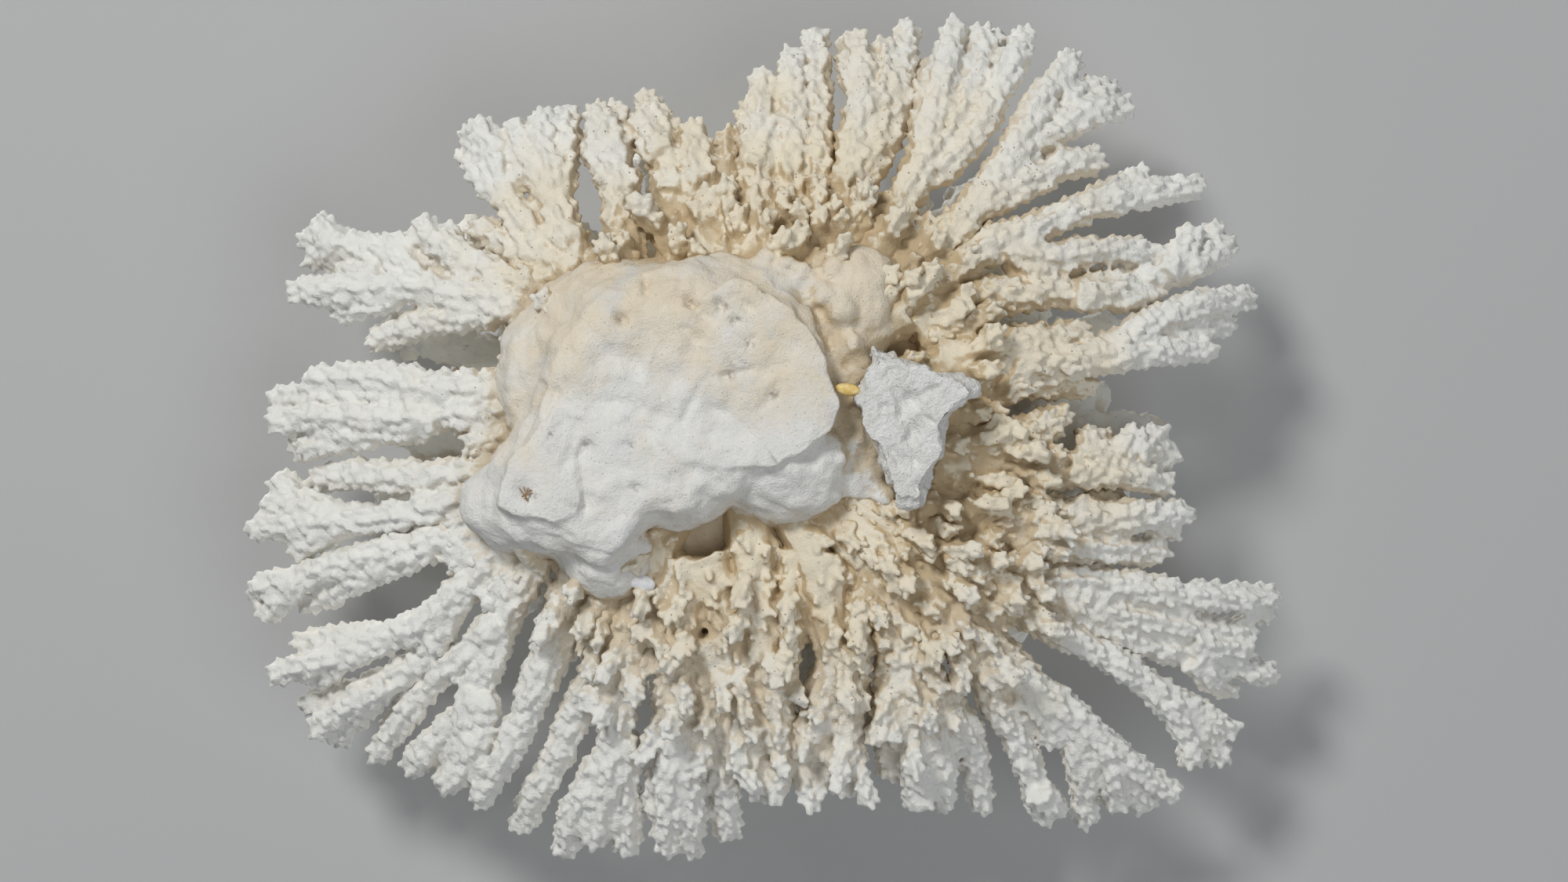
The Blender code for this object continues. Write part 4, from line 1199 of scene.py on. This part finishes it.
# The broken foot: a stub that snapped off its ground, with a ragged star of bright fresh chalk.
FOOT_STEPS = ((-0.7, 0.9), (2.0, 0.99), (8.0, 1.0), (18.0, 0.9))
FOOT_VOXEL = 0.5
FOOT_BUDGET = 30000
FRESH_CHALK = (0.91, 0.91, 0.885)
DULL_CHALK = (0.77, 0.76, 0.735)
FOOT_RELIEF = ((8.0, 3.0), (3.4, 1.5), (1.4, 0.6))
FOOT_SCARS = (
    (46, -13, 36, -9, 1.6, 1.8),
    (33, -17, 35, -12, 1.8, 1.6),
    (40, 8, 38, -4, 1.3, 1.4),
    (31, -8, 35, -6, 2.2, 1.6),
    (44, -4, 41, -6, 1.2, 2.2),
)
body = bmesh.new()
slab_shell(body, FOOT_OUTLINE, FOOT_STEPS)
foot = skin_from(body, "broken_foot_coral")
fuse_skin(foot, FOOT_VOXEL)
weathered(foot, FOOT_RELIEF, FOOT_SCARS)
thin_skin(foot, FOOT_BUDGET)
foot_material, tree, place, grain, shader = coral_material("broken_chalk", 1.6, 0.0012)
fresh = noise_on(tree, place, 160.0, 5.0, 0.7)
wood = mixed(tree, ramp(tree, fresh, 0.35, 0.7), FRESH_CHALK, DULL_CHALK)
tree.links.new(shaded(tree, wood, grain, 0.18), shader.inputs["Base Color"])
settle_piece(foot, "broken_foot", foot_material)


# Two scraps caught in the coral: a yellow scrap of shell or reed between plateau and foot, and a
# glossy white scrap of shell in the hollow beside the knob.
def scrap(name, place, half_sizes, turn, colours, roughness):
    """A small smooth pebble-like piece of two mixed colours."""
    bpy.ops.object.select_all(action="DESELECT")
    bpy.ops.mesh.primitive_uv_sphere_add(segments=24, ring_count=14, radius=1.0)
    piece = bpy.context.object
    piece.name = name
    shape = Matrix.Diagonal((*(half * MM for half in half_sizes), 1.0))
    piece.data.transform(Matrix.Translation(Vector(place) * MM) @ Matrix.Rotation(turn, 4, "Z") @ shape)
    for polygon in piece.data.polygons:
        polygon.use_smooth = True
    material, tree, shader = new_material(name)
    spot = tree.nodes.new("ShaderNodeTexCoord").outputs["Object"]
    mottled = ramp(tree, noise_on(tree, spot, 600.0, 4.0), 0.4, 0.65)
    shader.inputs["Roughness"].default_value = roughness
    tree.links.new(mixed(tree, mottled, *colours), shader.inputs["Base Color"])
    piece.data.materials.append(material)
    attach(piece, "root")


YELLOW_SCRAP = ((0.72, 0.50, 0.14), (0.80, 0.66, 0.32))
WHITE_SCRAP = ((0.86, 0.86, 0.87), (0.74, 0.75, 0.78))
scrap("yellow_scrap", placed(22.4, -12.6, 3.4), (3.2, 1.5, 1.2), math.radians(10.0), YELLOW_SCRAP, 0.5)
scrap("white_scrap", placed(-30.5, 36.5, 14.0), (3.6, 2.0, 1.4), math.radians(15.0), WHITE_SCRAP, 0.18)


# The stain of the hollows: how crowded with coral the space is just off each spot of the skins.
# It tints the recesses, where the living coral was thin and dirt gathered.
CELL = 2.5
MARGIN_CELLS = 8
BLUR_ROUNDS = 3
LOOK_AHEAD = 6.0
CROWDED = (0.10, 0.52)
every_skin = grown + [base, foot]
spots = [each_vertex(skin.data, "co") / MM for skin in every_skin]
low_corner = np.min([block.min(axis=0) for block in spots], axis=0) - MARGIN_CELLS * CELL
high_corner = np.max([block.max(axis=0) for block in spots], axis=0) + MARGIN_CELLS * CELL
filled = np.zeros(((high_corner - low_corner) / CELL).astype(int) + 1)
for block in spots:
    filled[tuple(((block - low_corner) / CELL).astype(int).T)] = 1.0
for axis in (0, 1, 2) * BLUR_ROUNDS:
    filled = (np.roll(filled, 1, axis) + filled + np.roll(filled, -1, axis)) / 3.0
for skin, block in zip(every_skin, spots):
    ahead = block + each_vertex(skin.data, "normal") * LOOK_AHEAD
    crowd = filled[tuple(((ahead - low_corner) / CELL).astype(int).T)]
    store(skin.data, "hollow", np.clip((crowd - CROWDED[0]) / (CROWDED[1] - CROWDED[0]), 0.0, 1.0))
